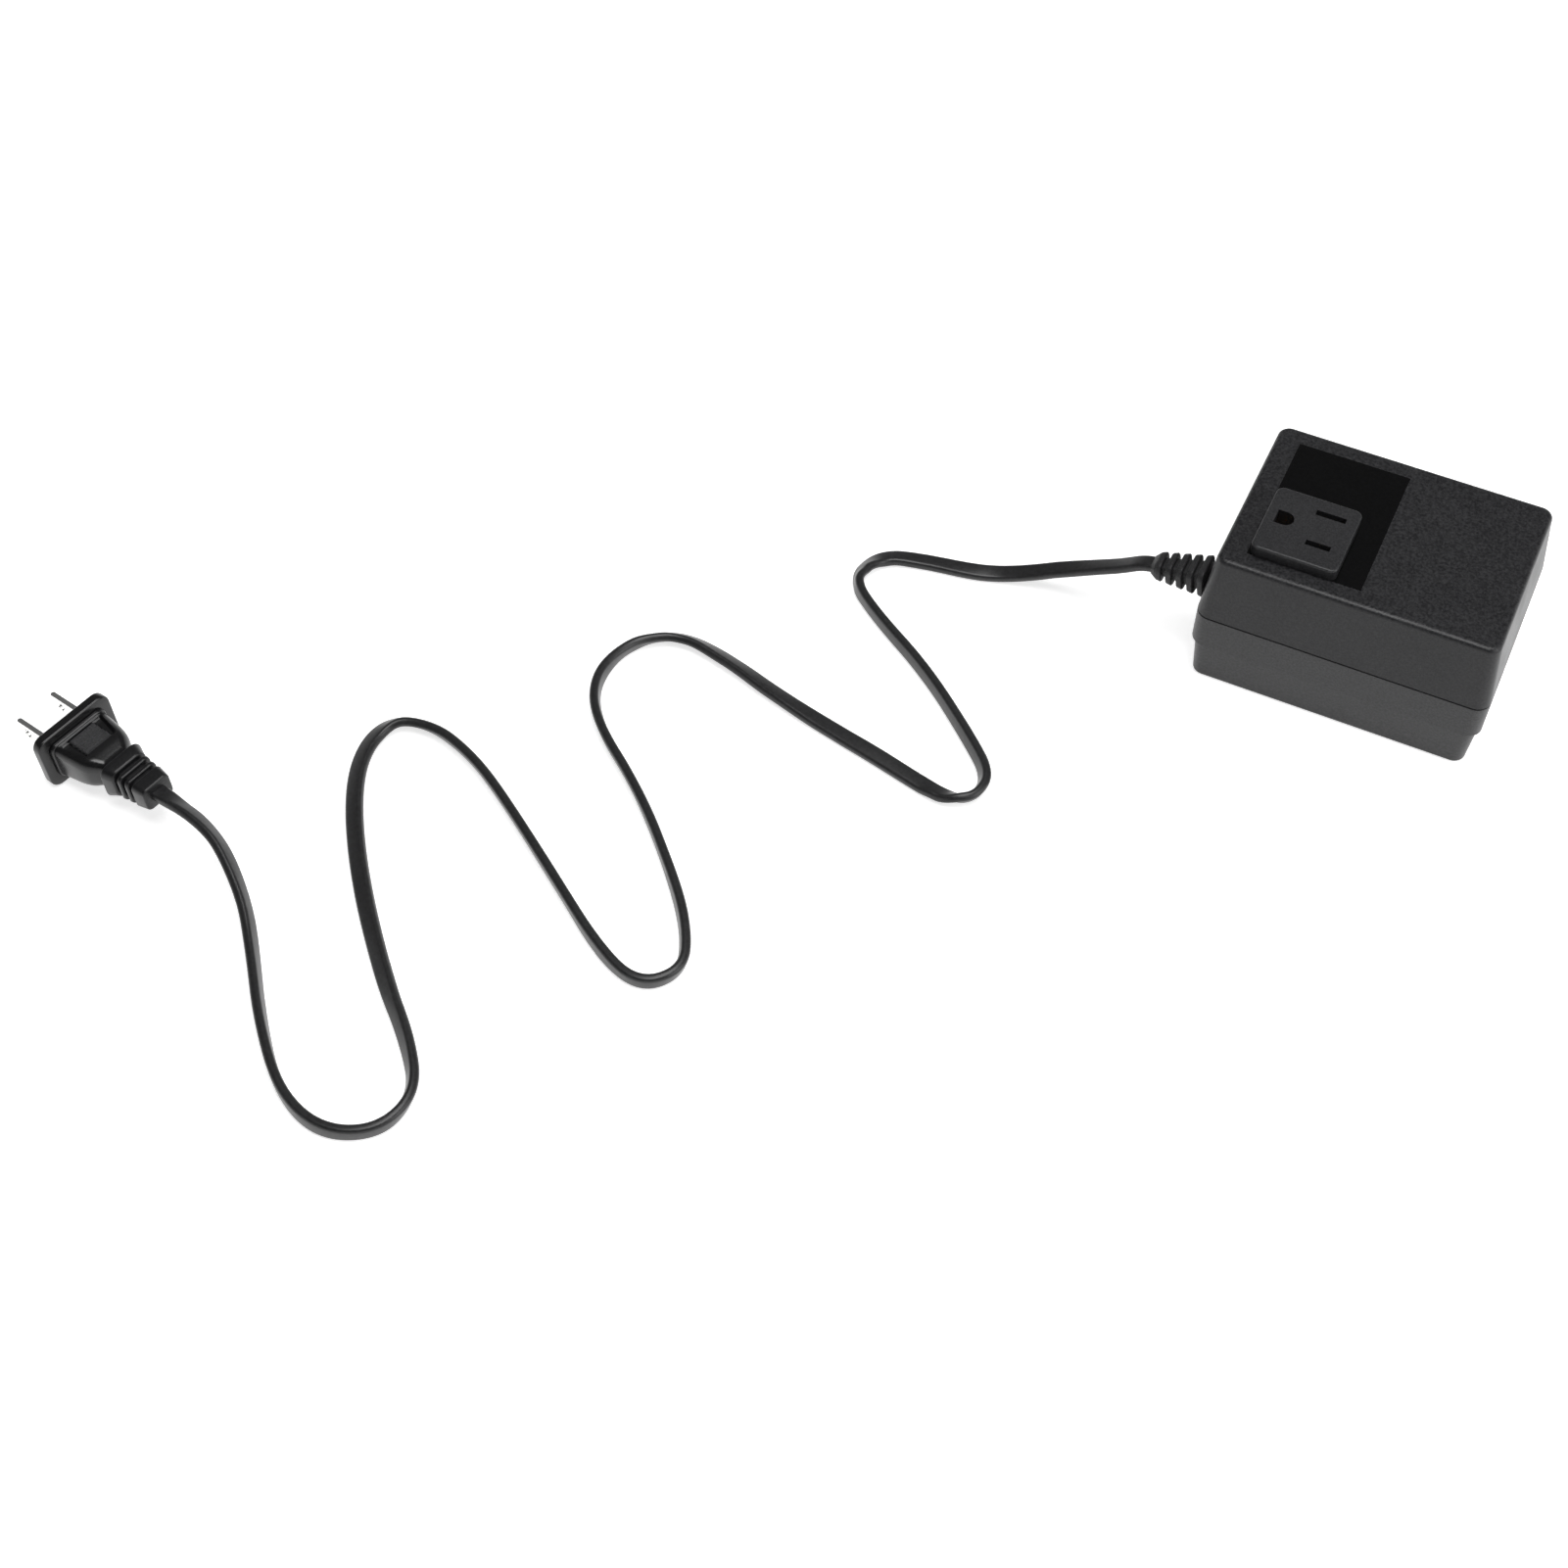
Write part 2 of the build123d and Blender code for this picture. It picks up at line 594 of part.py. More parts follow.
flange_length = core_stack + 2 * bobbin_reach
flange_depth = core_leg + 2 * bobbin_reach
with BuildPart() as coil_bobbin:
    with BuildSketch(Plane.XY.offset(window_floor)):
        with Locations((core_x, 0)):
            RectangleRounded(flange_length, flange_depth, bobbin_wall)
    extrude(amount=bobbin_flange)
    with BuildSketch(Plane.XY.offset(window_floor + core_window_height - bobbin_flange)):
        with Locations((core_x, 0)):
            RectangleRounded(flange_length, flange_depth, bobbin_wall)
    extrude(amount=bobbin_flange)
    with BuildSketch(Plane.XY.offset(window_floor)):
        with Locations((core_x, 0)):
            RectangleRounded(core_stack + 2 * bobbin_wall, core_leg + 2 * bobbin_wall, bobbin_wall)
    extrude(amount=core_window_height)
    with BuildSketch(Plane.XY.offset(window_floor)):
        with Locations((core_x, 0)):
            Rectangle(core_stack + 2 * slide_clearance, core_leg + 2 * slide_clearance)
    extrude(amount=core_window_height, mode=Mode.SUBTRACT)
    with BuildSketch(Plane.YZ.offset(coil_left)):
        with Locations((0, terminal_z)):
            with GridLocations(terminal_pitch, 0, terminal_count, 1):
                Circle(terminal_diameter / 2 + thread_clearance)
    extrude(amount=terminal_depth, mode=Mode.SUBTRACT)
coil_bobbin.part.label = "coil_bobbin"
export_step(coil_bobbin.part, "parts/coil_bobbin.step")

# Terminals: tinned pins in the lower flange, one node for the row

terminal_tip = coil_left - terminal_reach
with BuildPart() as bobbin_terminals:
    with BuildSketch(Plane.YZ.offset(terminal_tip)):
        with Locations((0, terminal_z)):
            with GridLocations(terminal_pitch, 0, terminal_count, 1):
                Circle(terminal_diameter / 2)
    extrude(amount=terminal_reach + terminal_depth)
bobbin_terminals.part.label = "bobbin_terminals"
export_step(bobbin_terminals.part, "parts/bobbin_terminals.step")

# Windings and their tape, from the bobbin outwards

layers = [
    ("primary_winding", primary_build),
    ("winding_barrier_tape", barrier_thickness),
    ("secondary_winding", secondary_build),
    ("outer_winding_tape", outer_tape_thickness),
]
layer_start = bobbin_wall + winding_clearance
for layer_name, layer_build in layers:
    layer_end = layer_start + layer_build
    with BuildPart() as layer:
        with BuildSketch(Plane.XY.offset(coil_bottom)):
            with Locations((core_x, 0)):
                RectangleRounded(core_stack + 2 * layer_end, core_leg + 2 * layer_end, layer_end)
                RectangleRounded(
                    core_stack + 2 * layer_start, core_leg + 2 * layer_start, layer_start, mode=Mode.SUBTRACT
                )
        extrude(amount=coil_height)
    layer.part.label = layer_name
    export_step(layer.part, "parts/" + layer_name + ".step")
    layer_start = layer_end
winding_left = core_left - layer_start

# Core strap: folded steel over the core, with a foot on each side

foot_tip = strap_half_width + strap_thickness + foot_reach
with BuildPart() as core_strap:
    with BuildSketch(Plane.YZ.offset(core_left)):
        with BuildLine():
            Polyline(
                (foot_tip, core_bottom),
                (foot_tip, core_bottom + strap_thickness),
                (strap_half_width + strap_thickness, core_bottom + strap_thickness),
                (strap_half_width + strap_thickness, core_top + strap_thickness),
                (-strap_half_width - strap_thickness, core_top + strap_thickness),
                (-strap_half_width - strap_thickness, core_bottom + strap_thickness),
                (-foot_tip, core_bottom + strap_thickness),
                (-foot_tip, core_bottom),
                (-strap_half_width, core_bottom),
                (-strap_half_width, core_top),
                (strap_half_width, core_top),
                (strap_half_width, core_bottom),
                close=True,
            )
        make_face()
    extrude(amount=core_stack)
    with BuildSketch(Plane.XY.offset(core_bottom)):
        with Locations((core_x, 0)):
            with GridLocations(foot_hole_pitch, 2 * foot_middle, 2, 2):
                Circle(foot_hole_diameter / 2)
    extrude(amount=strap_thickness, mode=Mode.SUBTRACT)
core_strap.part.label = "core_strap"
export_step(core_strap.part, "parts/core_strap.step")

# Core screws: four, through the strap's feet into the posts

foot_top = core_bottom + strap_thickness
with BuildPart() as core_screws:
    with BuildSketch(Plane.XY.offset(foot_top)):
        with Locations((core_x, 0)):
            with GridLocations(foot_hole_pitch, 2 * foot_middle, 2, 2):
                Circle(mount_head_diameter / 2)
    extrude(amount=mount_head_height)
    with BuildSketch(Plane.XY.offset(foot_top - mount_screw_length)):
        with Locations((core_x, 0)):
            with GridLocations(foot_hole_pitch, 2 * foot_middle, 2, 2):
                Circle(mount_screw_diameter / 2)
    extrude(amount=mount_screw_length)
    with BuildSketch(Plane.XY.offset(foot_top + mount_head_height / 2)):
        with Locations((core_x, 0)):
            with GridLocations(foot_hole_pitch, 2 * foot_middle, 2, 2):
                Rectangle(mount_head_diameter * recess_span_share, recess_width)
                Rectangle(recess_width, mount_head_diameter * recess_span_share)
    extrude(amount=mount_head_height / 2, mode=Mode.SUBTRACT)
core_screws.part.label = "core_screws"
export_step(core_screws.part, "parts/core_screws.step")

# Thermal fuse: lies against the taped winding, level with the seam

fuse_x = winding_left - slide_clearance - fuse_diameter / 2
fuse_end = fuse_length / 2 + fuse_lead_length
with BuildPart() as thermal_fuse:
    with BuildSketch(Plane.XZ):
        with Locations((fuse_x, lower_height)):
            Circle(fuse_diameter / 2)
    extrude(amount=fuse_length / 2, both=True)
    with BuildSketch(Plane.XZ):
        with Locations((fuse_x, lower_height)):
            Circle(fuse_lead_diameter / 2)
    extrude(amount=fuse_end, both=True)
thermal_fuse.part.label = "thermal_fuse"
export_step(thermal_fuse.part, "parts/thermal_fuse.step")

# Strain relief: neck through the wall, flange inside, ribs on a drooping taper outside

droop = math.radians(relief_droop)
wall_x = -seam_length / 2
relief_out = Vector(-math.cos(droop), 0, -math.sin(droop))
relief_plane = Plane(origin=(wall_x, relief_y, lower_height), x_dir=(0, 1, 0), z_dir=relief_out)
relief_start = relief_root_height / 2 * math.sin(droop) + slide_clearance
relief_taper_end = relief_length - relief_tip_length
rib_step = (relief_taper_end - relief_rib_thickness - relief_start) / (relief_rib_count - 1)


def relief_size(at):
    """Width and height of the ribs' envelope at a distance from the wall."""
    share = (at - relief_start) / (relief_taper_end - relief_start)
    width = relief_root_width + (relief_tip_width - relief_root_width) * share
    height = relief_root_height + (relief_tip_height - relief_root_height) * share
    return width, height


def rounded_section(plane, at, width, height, corner):
    """A rounded rectangle across a plane's normal, at a distance along it."""
    with BuildSketch(plane.offset(at)) as section:
        RectangleRounded(width, height, corner)
    return section.sketch


def relief_section(at, inset):
    """One section of the relief, inset from the ribs' envelope."""
    width, height = relief_size(at)
    inner_height = height - 2 * inset
    return rounded_section(
        relief_plane, at, width - 2 * inset, inner_height, inner_height * relief_corner_share
    )


relief_mouth = rounded_section(
    relief_plane,
    relief_length,
    cord_width + relief_mouth_margin,
    cord_thickness + 2 * relief_mouth_margin,
    cord_thickness / 2,
)
relief_flange_start = wall_x + wall + relief_flange_gap
with BuildPart() as strain_relief:
    loft(
        [relief_section(relief_start, relief_core_inset), relief_section(relief_taper_end, relief_core_inset)]
    )
    for rib in range(relief_rib_count):
        extrude(relief_section(relief_start + rib * rib_step, 0), amount=relief_rib_thickness)
    loft([relief_section(relief_taper_end, 0), relief_mouth])
    with BuildSketch(Plane.YZ.offset(wall_x - 2 * relief_start)):
        with Locations((relief_y, lower_height)):
            RectangleRounded(relief_neck_width, relief_neck_height, relief_neck_height * relief_corner_share)
    extrude(amount=relief_flange_start - wall_x + 2 * relief_start)
    with BuildSketch(Plane.YZ.offset(relief_flange_start)):
        with Locations((relief_y, lower_height)):
            RectangleRounded(
                relief_flange_width, relief_flange_height, relief_flange_height * relief_corner_share
            )
    extrude(amount=relief_flange_thickness)
strain_relief.part.label = "strain_relief"
export_step(strain_relief.part, "parts/strain_relief.step")

# Cord tail: the last of the flat jacket inside the case

tail_start = relief_flange_start + relief_flange_thickness
tail_end = tail_start + tail_length
with BuildPart() as cord_tail:
    with BuildSketch(Plane.YZ.offset(tail_start)):
        with Locations((relief_y, lower_height)):
            SlotOverall(cord_width, cord_thickness)
    extrude(amount=tail_length)
cord_tail.part.label = "cord_tail"
export_step(cord_tail.part, "parts/cord_tail.step")

# Inner leads: each a round wire on straight runs and tangent arcs

core_gap = (cord_width - cord_thickness) / 2
lead_room = 3 * lead_diameter
terminal_front = terminal_tip - lead_room
terminal_rows = [(place - (terminal_count - 1) / 2) * terminal_pitch for place in range(terminal_count)]
lead_routes = {
    "lead_cord_to_fuse": [
        (tail_end, relief_y - core_gap, lower_height),
        (tail_end + lead_room, relief_y - core_gap, lower_height),
        (tail_end + 2 * lead_room, relief_y - lead_room, lower_height - lead_room),
        (fuse_x - lead_room, relief_y - lead_room, lower_height - lead_room),
        (fuse_x, relief_y, lower_height),
        (fuse_x, -fuse_end, lower_height),
    ],
    "lead_cord_to_coil": [
        (tail_end, relief_y + core_gap, lower_height),
        (tail_end + 2 * lead_room, relief_y + core_gap, lower_height),
        (terminal_front - lead_room, terminal_rows[0], terminal_z),
        (terminal_tip, terminal_rows[0], terminal_z),
    ],
    "lead_line_outlet": [
        (slots_x, line_y, tab_bottom),
        (slots_x, line_y, tab_bottom - lead_room),
        (terminal_front, terminal_rows[1], terminal_z + lead_room),
        (terminal_front, terminal_rows[1], terminal_z),
        (terminal_tip, terminal_rows[1], terminal_z),
    ],
    "lead_neutral_outlet": [
        (slots_x, neutral_y, tab_bottom),
        (slots_x, neutral_y, tab_bottom - lead_room),
        (terminal_front - lead_diameter, terminal_rows[2], terminal_z),
        (terminal_tip, terminal_rows[2], terminal_z),
    ],
    "lead_fuse_to_coil": [
        (fuse_x, fuse_end, lower_height),
        (fuse_x, fuse_end + lead_room, lower_height),
        (terminal_front, fuse_end + lead_room, lower_height - lead_room),
        (terminal_front, terminal_rows[3], terminal_z),
        (terminal_tip, terminal_rows[3], terminal_z),
    ],
}
for lead_name, lead_points in lead_routes.items():
    with BuildPart() as lead:
        with BuildLine() as lead_path:
            FilletPolyline(*lead_points, radius=lead_diameter)
        with BuildSketch(lead_path.line ^ 0):
            Circle(lead_diameter / 2)
        sweep()
    lead.part.label = lead_name
    export_step(lead.part, "parts/" + lead_name + ".step")

# Plug frame: origin at the middle of the flange's front face, Z back along the cord

heading = math.radians(plug_heading)
tilt = math.radians(plug_tilt)
plug_back = Vector(-math.cos(heading) * math.cos(tilt), -math.sin(heading) * math.cos(tilt), -math.sin(tilt))
plug_across = Vector(math.sin(heading), -math.cos(heading), 0)
round_out = flange_thickness - flange_edge_round
round_down = flange_height / 2 - flange_edge_round
lowest_reach = max(flange_edge_round * math.sin(tilt), round_out * math.sin(tilt))
plug_z = round_down * math.cos(tilt) + lowest_reach + flange_edge_round
plug_origin = Vector(plug_x, plug_y, plug_z)
plug_plane = Plane(origin=plug_origin, x_dir=plug_across, z_dir=plug_back)
plug_side_plane = Plane(origin=plug_origin, x_dir=plug_back, z_dir=plug_across)
plug_end = plug_origin + plug_back * plug_length


def plug_section(at, width, height, corner):
    """One rounded section across the plug."""
    return rounded_section(plug_plane, at, width, height, corner)


# Plug body: flange, gripped body and ribbed tail, moulded in one round the bridge and blades

plug_axis = Axis(plug_origin, plug_back)
step_start = flange_thickness - flange_edge_round
step_end = flange_thickness + plug_step_thickness
rib_zone_start = plug_collar_at + plug_collar_thickness
plug_end_at = plug_length - plug_end_thickness
rib_pitch = (plug_end_at - rib_zone_start + plug_rib_thickness) / (plug_rib_count + 1)
with BuildPart() as plug_body:
    extrude(plug_section(0, flange_width, flange_height, flange_corner), amount=flange_thickness)
    fillet(plug_body.faces().sort_by(plug_axis)[0].edges(), flange_edge_round)
    fillet(plug_body.faces().sort_by(plug_axis)[-1].edges(), flange_edge_round)
    extrude(plug_section(step_start, *plug_step), amount=step_end - step_start)
    loft(
        [
            plug_section(step_start, *plug_body_start),
            plug_section(plug_waist_at, *plug_body_waist),
            plug_section(plug_belly_at, *plug_body_belly),
            plug_section(plug_neck_at, *plug_body_end),
        ]
    )
    extrude(
        plug_section(plug_neck_at - flange_edge_round, *plug_neck, plug_detail_corner),
        amount=plug_collar_at - plug_neck_at + 2 * flange_edge_round,
    )
    loft([plug_section(plug_collar_at, *plug_collar_front), plug_section(rib_zone_start, *plug_collar_back)])
    extrude(
        plug_section(rib_zone_start, *plug_rib_core, plug_detail_corner), amount=plug_end_at - rib_zone_start
    )
    for rib in range(plug_rib_count):
        share = rib / (plug_rib_count - 1)
        rib_width = plug_rib_first[0] + (plug_rib_last[0] - plug_rib_first[0]) * share
        rib_height = plug_rib_first[1] + (plug_rib_last[1] - plug_rib_first[1]) * share
        rib_at = rib_zone_start + (rib + 1) * rib_pitch - plug_rib_thickness
        extrude(plug_section(rib_at, rib_width, rib_height, plug_detail_corner), amount=plug_rib_thickness)
    loft(
        [
            plug_section(plug_end_at, *plug_end_front, plug_detail_corner),
            plug_section(plug_length, *plug_end_back, plug_detail_corner),
        ]
    )
    extrude(
        plug_section(0, bridge_plate_width, bridge_plate_height, plug_detail_corner),
        amount=bridge_plate_thickness,
        mode=Mode.SUBTRACT,
    )
    extrude(
        plug_section(bridge_plate_thickness, bridge_core_width, bridge_core_height, plug_detail_corner),
        amount=bridge_core_length,
        mode=Mode.SUBTRACT,
    )
    with BuildSketch(plug_plane):
        with GridLocations(blade_pitch, 0, 2, 1):
            Rectangle(blade_thickness, blade_height)
    extrude(amount=blade_tail, mode=Mode.SUBTRACT)
plug_body.part.label = "plug_body"
export_step(plug_body.part, "parts/plug_body.step")

# Plug bridge: the hard insert that holds the blades apart

with BuildPart() as plug_bridge:
    extrude(
        plug_section(0, bridge_plate_width, bridge_plate_height, plug_detail_corner),
        amount=bridge_plate_thickness,
    )
    extrude(
        plug_section(bridge_plate_thickness, bridge_core_width, bridge_core_height, plug_detail_corner),
        amount=bridge_core_length,
    )
    with BuildSketch(plug_plane):
        with GridLocations(blade_pitch, 0, 2, 1):
            Rectangle(blade_thickness, blade_height)
    extrude(amount=blade_tail, mode=Mode.SUBTRACT)
plug_bridge.part.label = "plug_bridge"
export_step(plug_bridge.part, "parts/plug_bridge.step")

# Plug blades: two flat blades with a hole near the tip, one node for the pair

with BuildPart() as plug_blades:
    for side in (-1, 1):
        with BuildSketch(plug_side_plane.offset(side * blade_pitch / 2 - blade_thickness / 2)):
            with Locations(((blade_tail - blade_reach) / 2, 0)):
                Rectangle(blade_reach + blade_tail, blade_height)
            with Locations((blade_hole_from_tip - blade_reach, 0)):
                Circle(blade_hole_diameter / 2, mode=Mode.SUBTRACT)
        extrude(amount=blade_thickness)
    front_edges = plug_blades.edges().group_by(plug_axis)[0]
    tip_edges = front_edges.filter_by(Axis(plug_origin, plug_side_plane.y_dir))
    chamfer(tip_edges, blade_thickness * blade_tip_share)
plug_blades.part.label = "plug_blades"
export_step(plug_blades.part, "parts/plug_blades.step")

# Power cord: a round tube as wide as the flat lead, on straight runs and tangent arcs

relief_tip = relief_plane.origin + relief_out * relief_length
route = [relief_tip, relief_tip + relief_out * cord_first_run]
route += [Vector(*point) for point in cord_route]
route += [plug_end + plug_back * cord_last_run, plug_end]
radii = []
for before, here, after in zip(route, route[1:], route[2:]):
    turn = math.radians((here - before).get_angle(after - here))
    radii.append(run_share * min((here - before).length, (after - here).length) / math.tan(turn / 2))
    print("cord radius", round(radii[-1], 1), "turn", round(math.degrees(turn)))
with BuildPart() as power_cord:
    with BuildLine() as cord_path:
        FilletPolyline(*route, radius=radii)
    with BuildSketch(cord_path.line ^ 0):
        Circle(cord_width / 2)
    sweep()
power_cord.part.label = "power_cord"
export_step(power_cord.part, "parts/power_cord.step")
cord_length = sum(edge.length for edge in cord_path.edges())
print("cord length", round(cord_length, 1))
section_area = math.pi * cord_width**2 / 4
volume_share = power_cord.part.volume / (section_area * cord_length)
print("cord volume over section times length", round(volume_share, 4))
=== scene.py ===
import math

import bpy
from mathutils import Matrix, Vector


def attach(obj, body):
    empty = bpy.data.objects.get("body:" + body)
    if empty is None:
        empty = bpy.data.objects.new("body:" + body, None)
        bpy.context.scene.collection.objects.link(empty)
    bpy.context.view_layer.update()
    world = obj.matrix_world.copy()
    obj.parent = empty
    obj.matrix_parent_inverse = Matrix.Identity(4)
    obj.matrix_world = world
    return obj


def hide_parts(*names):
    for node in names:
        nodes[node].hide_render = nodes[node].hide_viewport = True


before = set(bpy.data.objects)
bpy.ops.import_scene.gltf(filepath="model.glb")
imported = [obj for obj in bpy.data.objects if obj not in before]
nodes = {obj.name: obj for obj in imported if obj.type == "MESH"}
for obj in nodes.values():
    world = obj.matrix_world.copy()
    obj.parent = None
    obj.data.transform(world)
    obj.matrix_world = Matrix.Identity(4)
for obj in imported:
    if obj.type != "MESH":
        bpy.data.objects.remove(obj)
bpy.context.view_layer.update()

# Camera, light and floor. Sizes are millimetres in the frame of the CAD model, and MM turns them
# into metres; only the lights are in metres. The camera stands where the photograph was taken from.
# Two softboxes light the part, and the white paper floor curves up far away all round.

MM = 0.001
CAMERA_PLACE = (46.27, -505.08, 542.31)
CAMERA_TURN = (37.863, -0.14, 25.549)
CAMERA_LENS = 53.97
CAMERA_SENSOR = 36.0
CAMERA_NEAR = 10.0
ROOM_LEVELS = (0.07, 0.15)
ROOM_SPAN = 0.75
FLOOR_RADIUS = 5000.0
FLOOR_DROP = 0.2
BACKDROP_CURVE = 3500.0
BACKDROP_ANGLE = 70
BACKDROP_STEPS = 10
BACKDROP_SIDES = 72
PAPER_GREY = 0.74
PAPER_GLOW = 0.72


def new_object(name, data):
    """A new object with the given data, put into the scene."""
    made = bpy.data.objects.new(name, data)
    bpy.context.scene.collection.objects.link(made)
    return made


camera_data = bpy.data.cameras.new("view_camera")
camera_data.lens = CAMERA_LENS
camera_data.sensor_width = CAMERA_SENSOR
camera_data.clip_start = CAMERA_NEAR * MM
camera = new_object("view_camera", camera_data)
camera.location = Vector(CAMERA_PLACE) * MM
camera.rotation_euler = [math.radians(angle) for angle in CAMERA_TURN]
bpy.context.scene.camera = camera
bpy.context.scene.view_settings.view_transform = "Standard"


def softbox(name, place, aim, size, power):
    """A rectangular area light at a place, turned towards a point, in metres and watts."""
    light = bpy.data.lights.new(name, "AREA")
    light.shape = "RECTANGLE"
    light.size = size[0]
    light.size_y = size[1]
    light.energy = power
    made = new_object(name, light)
    made.location = place
    made.rotation_euler = (Vector(aim) - Vector(place)).to_track_quat("-Z", "Y").to_euler()


softbox(
    "softbox_above", place=(0.00, -0.12, 1.40), aim=(-0.10, -0.10, 0.0), size=(1.0, 0.7), power=15.0
)
softbox(
    "softbox_right", place=(1.25, -0.05, 0.75), aim=(-0.10, -0.05, 0.0), size=(1.0, 1.2), power=11.0
)

world = bpy.data.worlds.new("studio")
bpy.context.scene.world = world
world.use_nodes = True
tree = world.node_tree
tree.nodes.clear()
direction = tree.nodes.new("ShaderNodeTexCoord")
split = tree.nodes.new("ShaderNodeSeparateXYZ")
ramp = tree.nodes.new("ShaderNodeMapRange")
ramp.inputs["From Min"].default_value = -ROOM_SPAN
ramp.inputs["From Max"].default_value = ROOM_SPAN
ramp.inputs["To Min"].default_value = ROOM_LEVELS[0]
ramp.inputs["To Max"].default_value = ROOM_LEVELS[1]
room = tree.nodes.new("ShaderNodeBackground")
out = tree.nodes.new("ShaderNodeOutputWorld")
tree.links.new(direction.outputs["Generated"], split.inputs[0])
tree.links.new(split.outputs["Y"], ramp.inputs["Value"])
tree.links.new(ramp.outputs["Result"], room.inputs["Color"])
tree.links.new(room.outputs[0], out.inputs["Surface"])

floor_points = []
floor_faces = [tuple(range(BACKDROP_SIDES))]
for step in range(BACKDROP_STEPS + 1):
    rise = math.radians(BACKDROP_ANGLE * step / BACKDROP_STEPS)
    radius = FLOOR_RADIUS + BACKDROP_CURVE * math.sin(rise)
    height = BACKDROP_CURVE * (1 - math.cos(rise)) - FLOOR_DROP
    for side in range(BACKDROP_SIDES):
        angle = 2 * math.pi * side / BACKDROP_SIDES
        x, y = radius * math.cos(angle), radius * math.sin(angle)
        floor_points.append((x * MM, y * MM, height * MM))
        if step:
            corner = (step - 1) * BACKDROP_SIDES
            beside = (side + 1) % BACKDROP_SIDES
            above = corner + BACKDROP_SIDES
            floor_faces.append((corner + beside, corner + side, above + side, above + beside))
floor_mesh = bpy.data.meshes.new("floor")
floor_mesh.from_pydata(floor_points, [], floor_faces)
floor_mesh.shade_smooth()
floor = new_object("floor", floor_mesh)
floor_paint = bpy.data.materials.new("floor_paper")
floor_paint.use_nodes = True
tree = floor_paint.node_tree
tree.nodes.clear()
paper = tree.nodes.new("ShaderNodeBsdfDiffuse")
paper.inputs["Color"].default_value = (PAPER_GREY, PAPER_GREY, PAPER_GREY, 1)
glow = tree.nodes.new("ShaderNodeEmission")
ray = tree.nodes.new("ShaderNodeLightPath")
seen = tree.nodes.new("ShaderNodeMath")
seen.operation = "MAXIMUM"
through = tree.nodes.new("ShaderNodeMath")
through.operation = "MAXIMUM"
level = tree.nodes.new("ShaderNodeMath")
level.operation = "MULTIPLY"
level.inputs[1].default_value = PAPER_GLOW
both = tree.nodes.new("ShaderNodeAddShader")
out = tree.nodes.new("ShaderNodeOutputMaterial")
tree.links.new(ray.outputs["Is Camera Ray"], seen.inputs[0])
tree.links.new(ray.outputs["Is Glossy Ray"], seen.inputs[1])
tree.links.new(seen.outputs[0], through.inputs[0])
tree.links.new(ray.outputs["Is Transmission Ray"], through.inputs[1])
tree.links.new(through.outputs[0], level.inputs[0])
tree.links.new(level.outputs[0], glow.inputs["Strength"])
tree.links.new(paper.outputs[0], both.inputs[0])
tree.links.new(glow.outputs[0], both.inputs[1])
tree.links.new(both.outputs[0], out.inputs["Surface"])
floor_mesh.materials.append(floor_paint)

# Case. Two drafted shells of dark grained plastic, screwed together from below, with a thin dark
# gap where they meet. Their plastic starts from two effects that every other material here shares:
# a moulded grain, and a broad unevenness of the sheen.

# The grain's noise, the part of it that runs from dark to light, and how steep a face still counts
# as a wall, where the grain is weaker and its colour stays near the middle.
GRAIN_DETAIL = 2.5
GRAIN_ROUGHNESS = 0.65
GRAIN_RANGE = (0.34, 0.66)
GRAIN_MIDDLE = 0.5
WALL_RANGE = (0.4, 0.9)
UNEVEN_DETAIL = 3.0
UNEVEN_RANGE = (0.3, 0.7)


def socket(group, name, kind, way, value=None):
    """A named socket on a node group, with its value where it is an input."""
    made = group.interface.new_socket(name=name, in_out=way, socket_type=kind)
    if value is not None:
        made.default_value = value


grain = bpy.data.node_groups.new("moulded_grain", "ShaderNodeTree")
socket(grain, "Cells per metre", "NodeSocketFloat", "INPUT", 2600.0)
socket(grain, "Height", "NodeSocketFloat", "INPUT", 0.02 * MM)
socket(grain, "Strength", "NodeSocketFloat", "INPUT", 0.5)
socket(grain, "Kept on walls", "NodeSocketFloat", "INPUT", 1.0)
socket(grain, "Normal", "NodeSocketVector", "OUTPUT")
socket(grain, "Mask", "NodeSocketFloat", "OUTPUT")
enter = grain.nodes.new("NodeGroupInput")
leave = grain.nodes.new("NodeGroupOutput")
where = grain.nodes.new("ShaderNodeTexCoord")
fine = grain.nodes.new("ShaderNodeTexNoise")
fine.inputs["Detail"].default_value = GRAIN_DETAIL
fine.inputs["Roughness"].default_value = GRAIN_ROUGHNESS
bump = grain.nodes.new("ShaderNodeBump")
contrast = grain.nodes.new("ShaderNodeMapRange")
contrast.inputs["From Min"].default_value = GRAIN_RANGE[0]
contrast.inputs["From Max"].default_value = GRAIN_RANGE[1]
grain.links.new(where.outputs["Object"], fine.inputs["Vector"])
grain.links.new(enter.outputs["Cells per metre"], fine.inputs["Scale"])
grain.links.new(fine.outputs["Fac"], bump.inputs["Height"])
grain.links.new(enter.outputs["Height"], bump.inputs["Distance"])
surface = grain.nodes.new("ShaderNodeNewGeometry")
facing = grain.nodes.new("ShaderNodeSeparateXYZ")
kept = grain.nodes.new("ShaderNodeMapRange")
kept.inputs["From Min"].default_value = WALL_RANGE[0]
kept.inputs["From Max"].default_value = WALL_RANGE[1]
strength = grain.nodes.new("ShaderNodeMath")
strength.operation = "MULTIPLY"
mask = grain.nodes.new("ShaderNodeMix")
mask.inputs["A"].default_value = GRAIN_MIDDLE
grain.links.new(surface.outputs["Normal"], facing.inputs[0])
grain.links.new(facing.outputs["Z"], kept.inputs["Value"])
grain.links.new(enter.outputs["Kept on walls"], kept.inputs["To Min"])
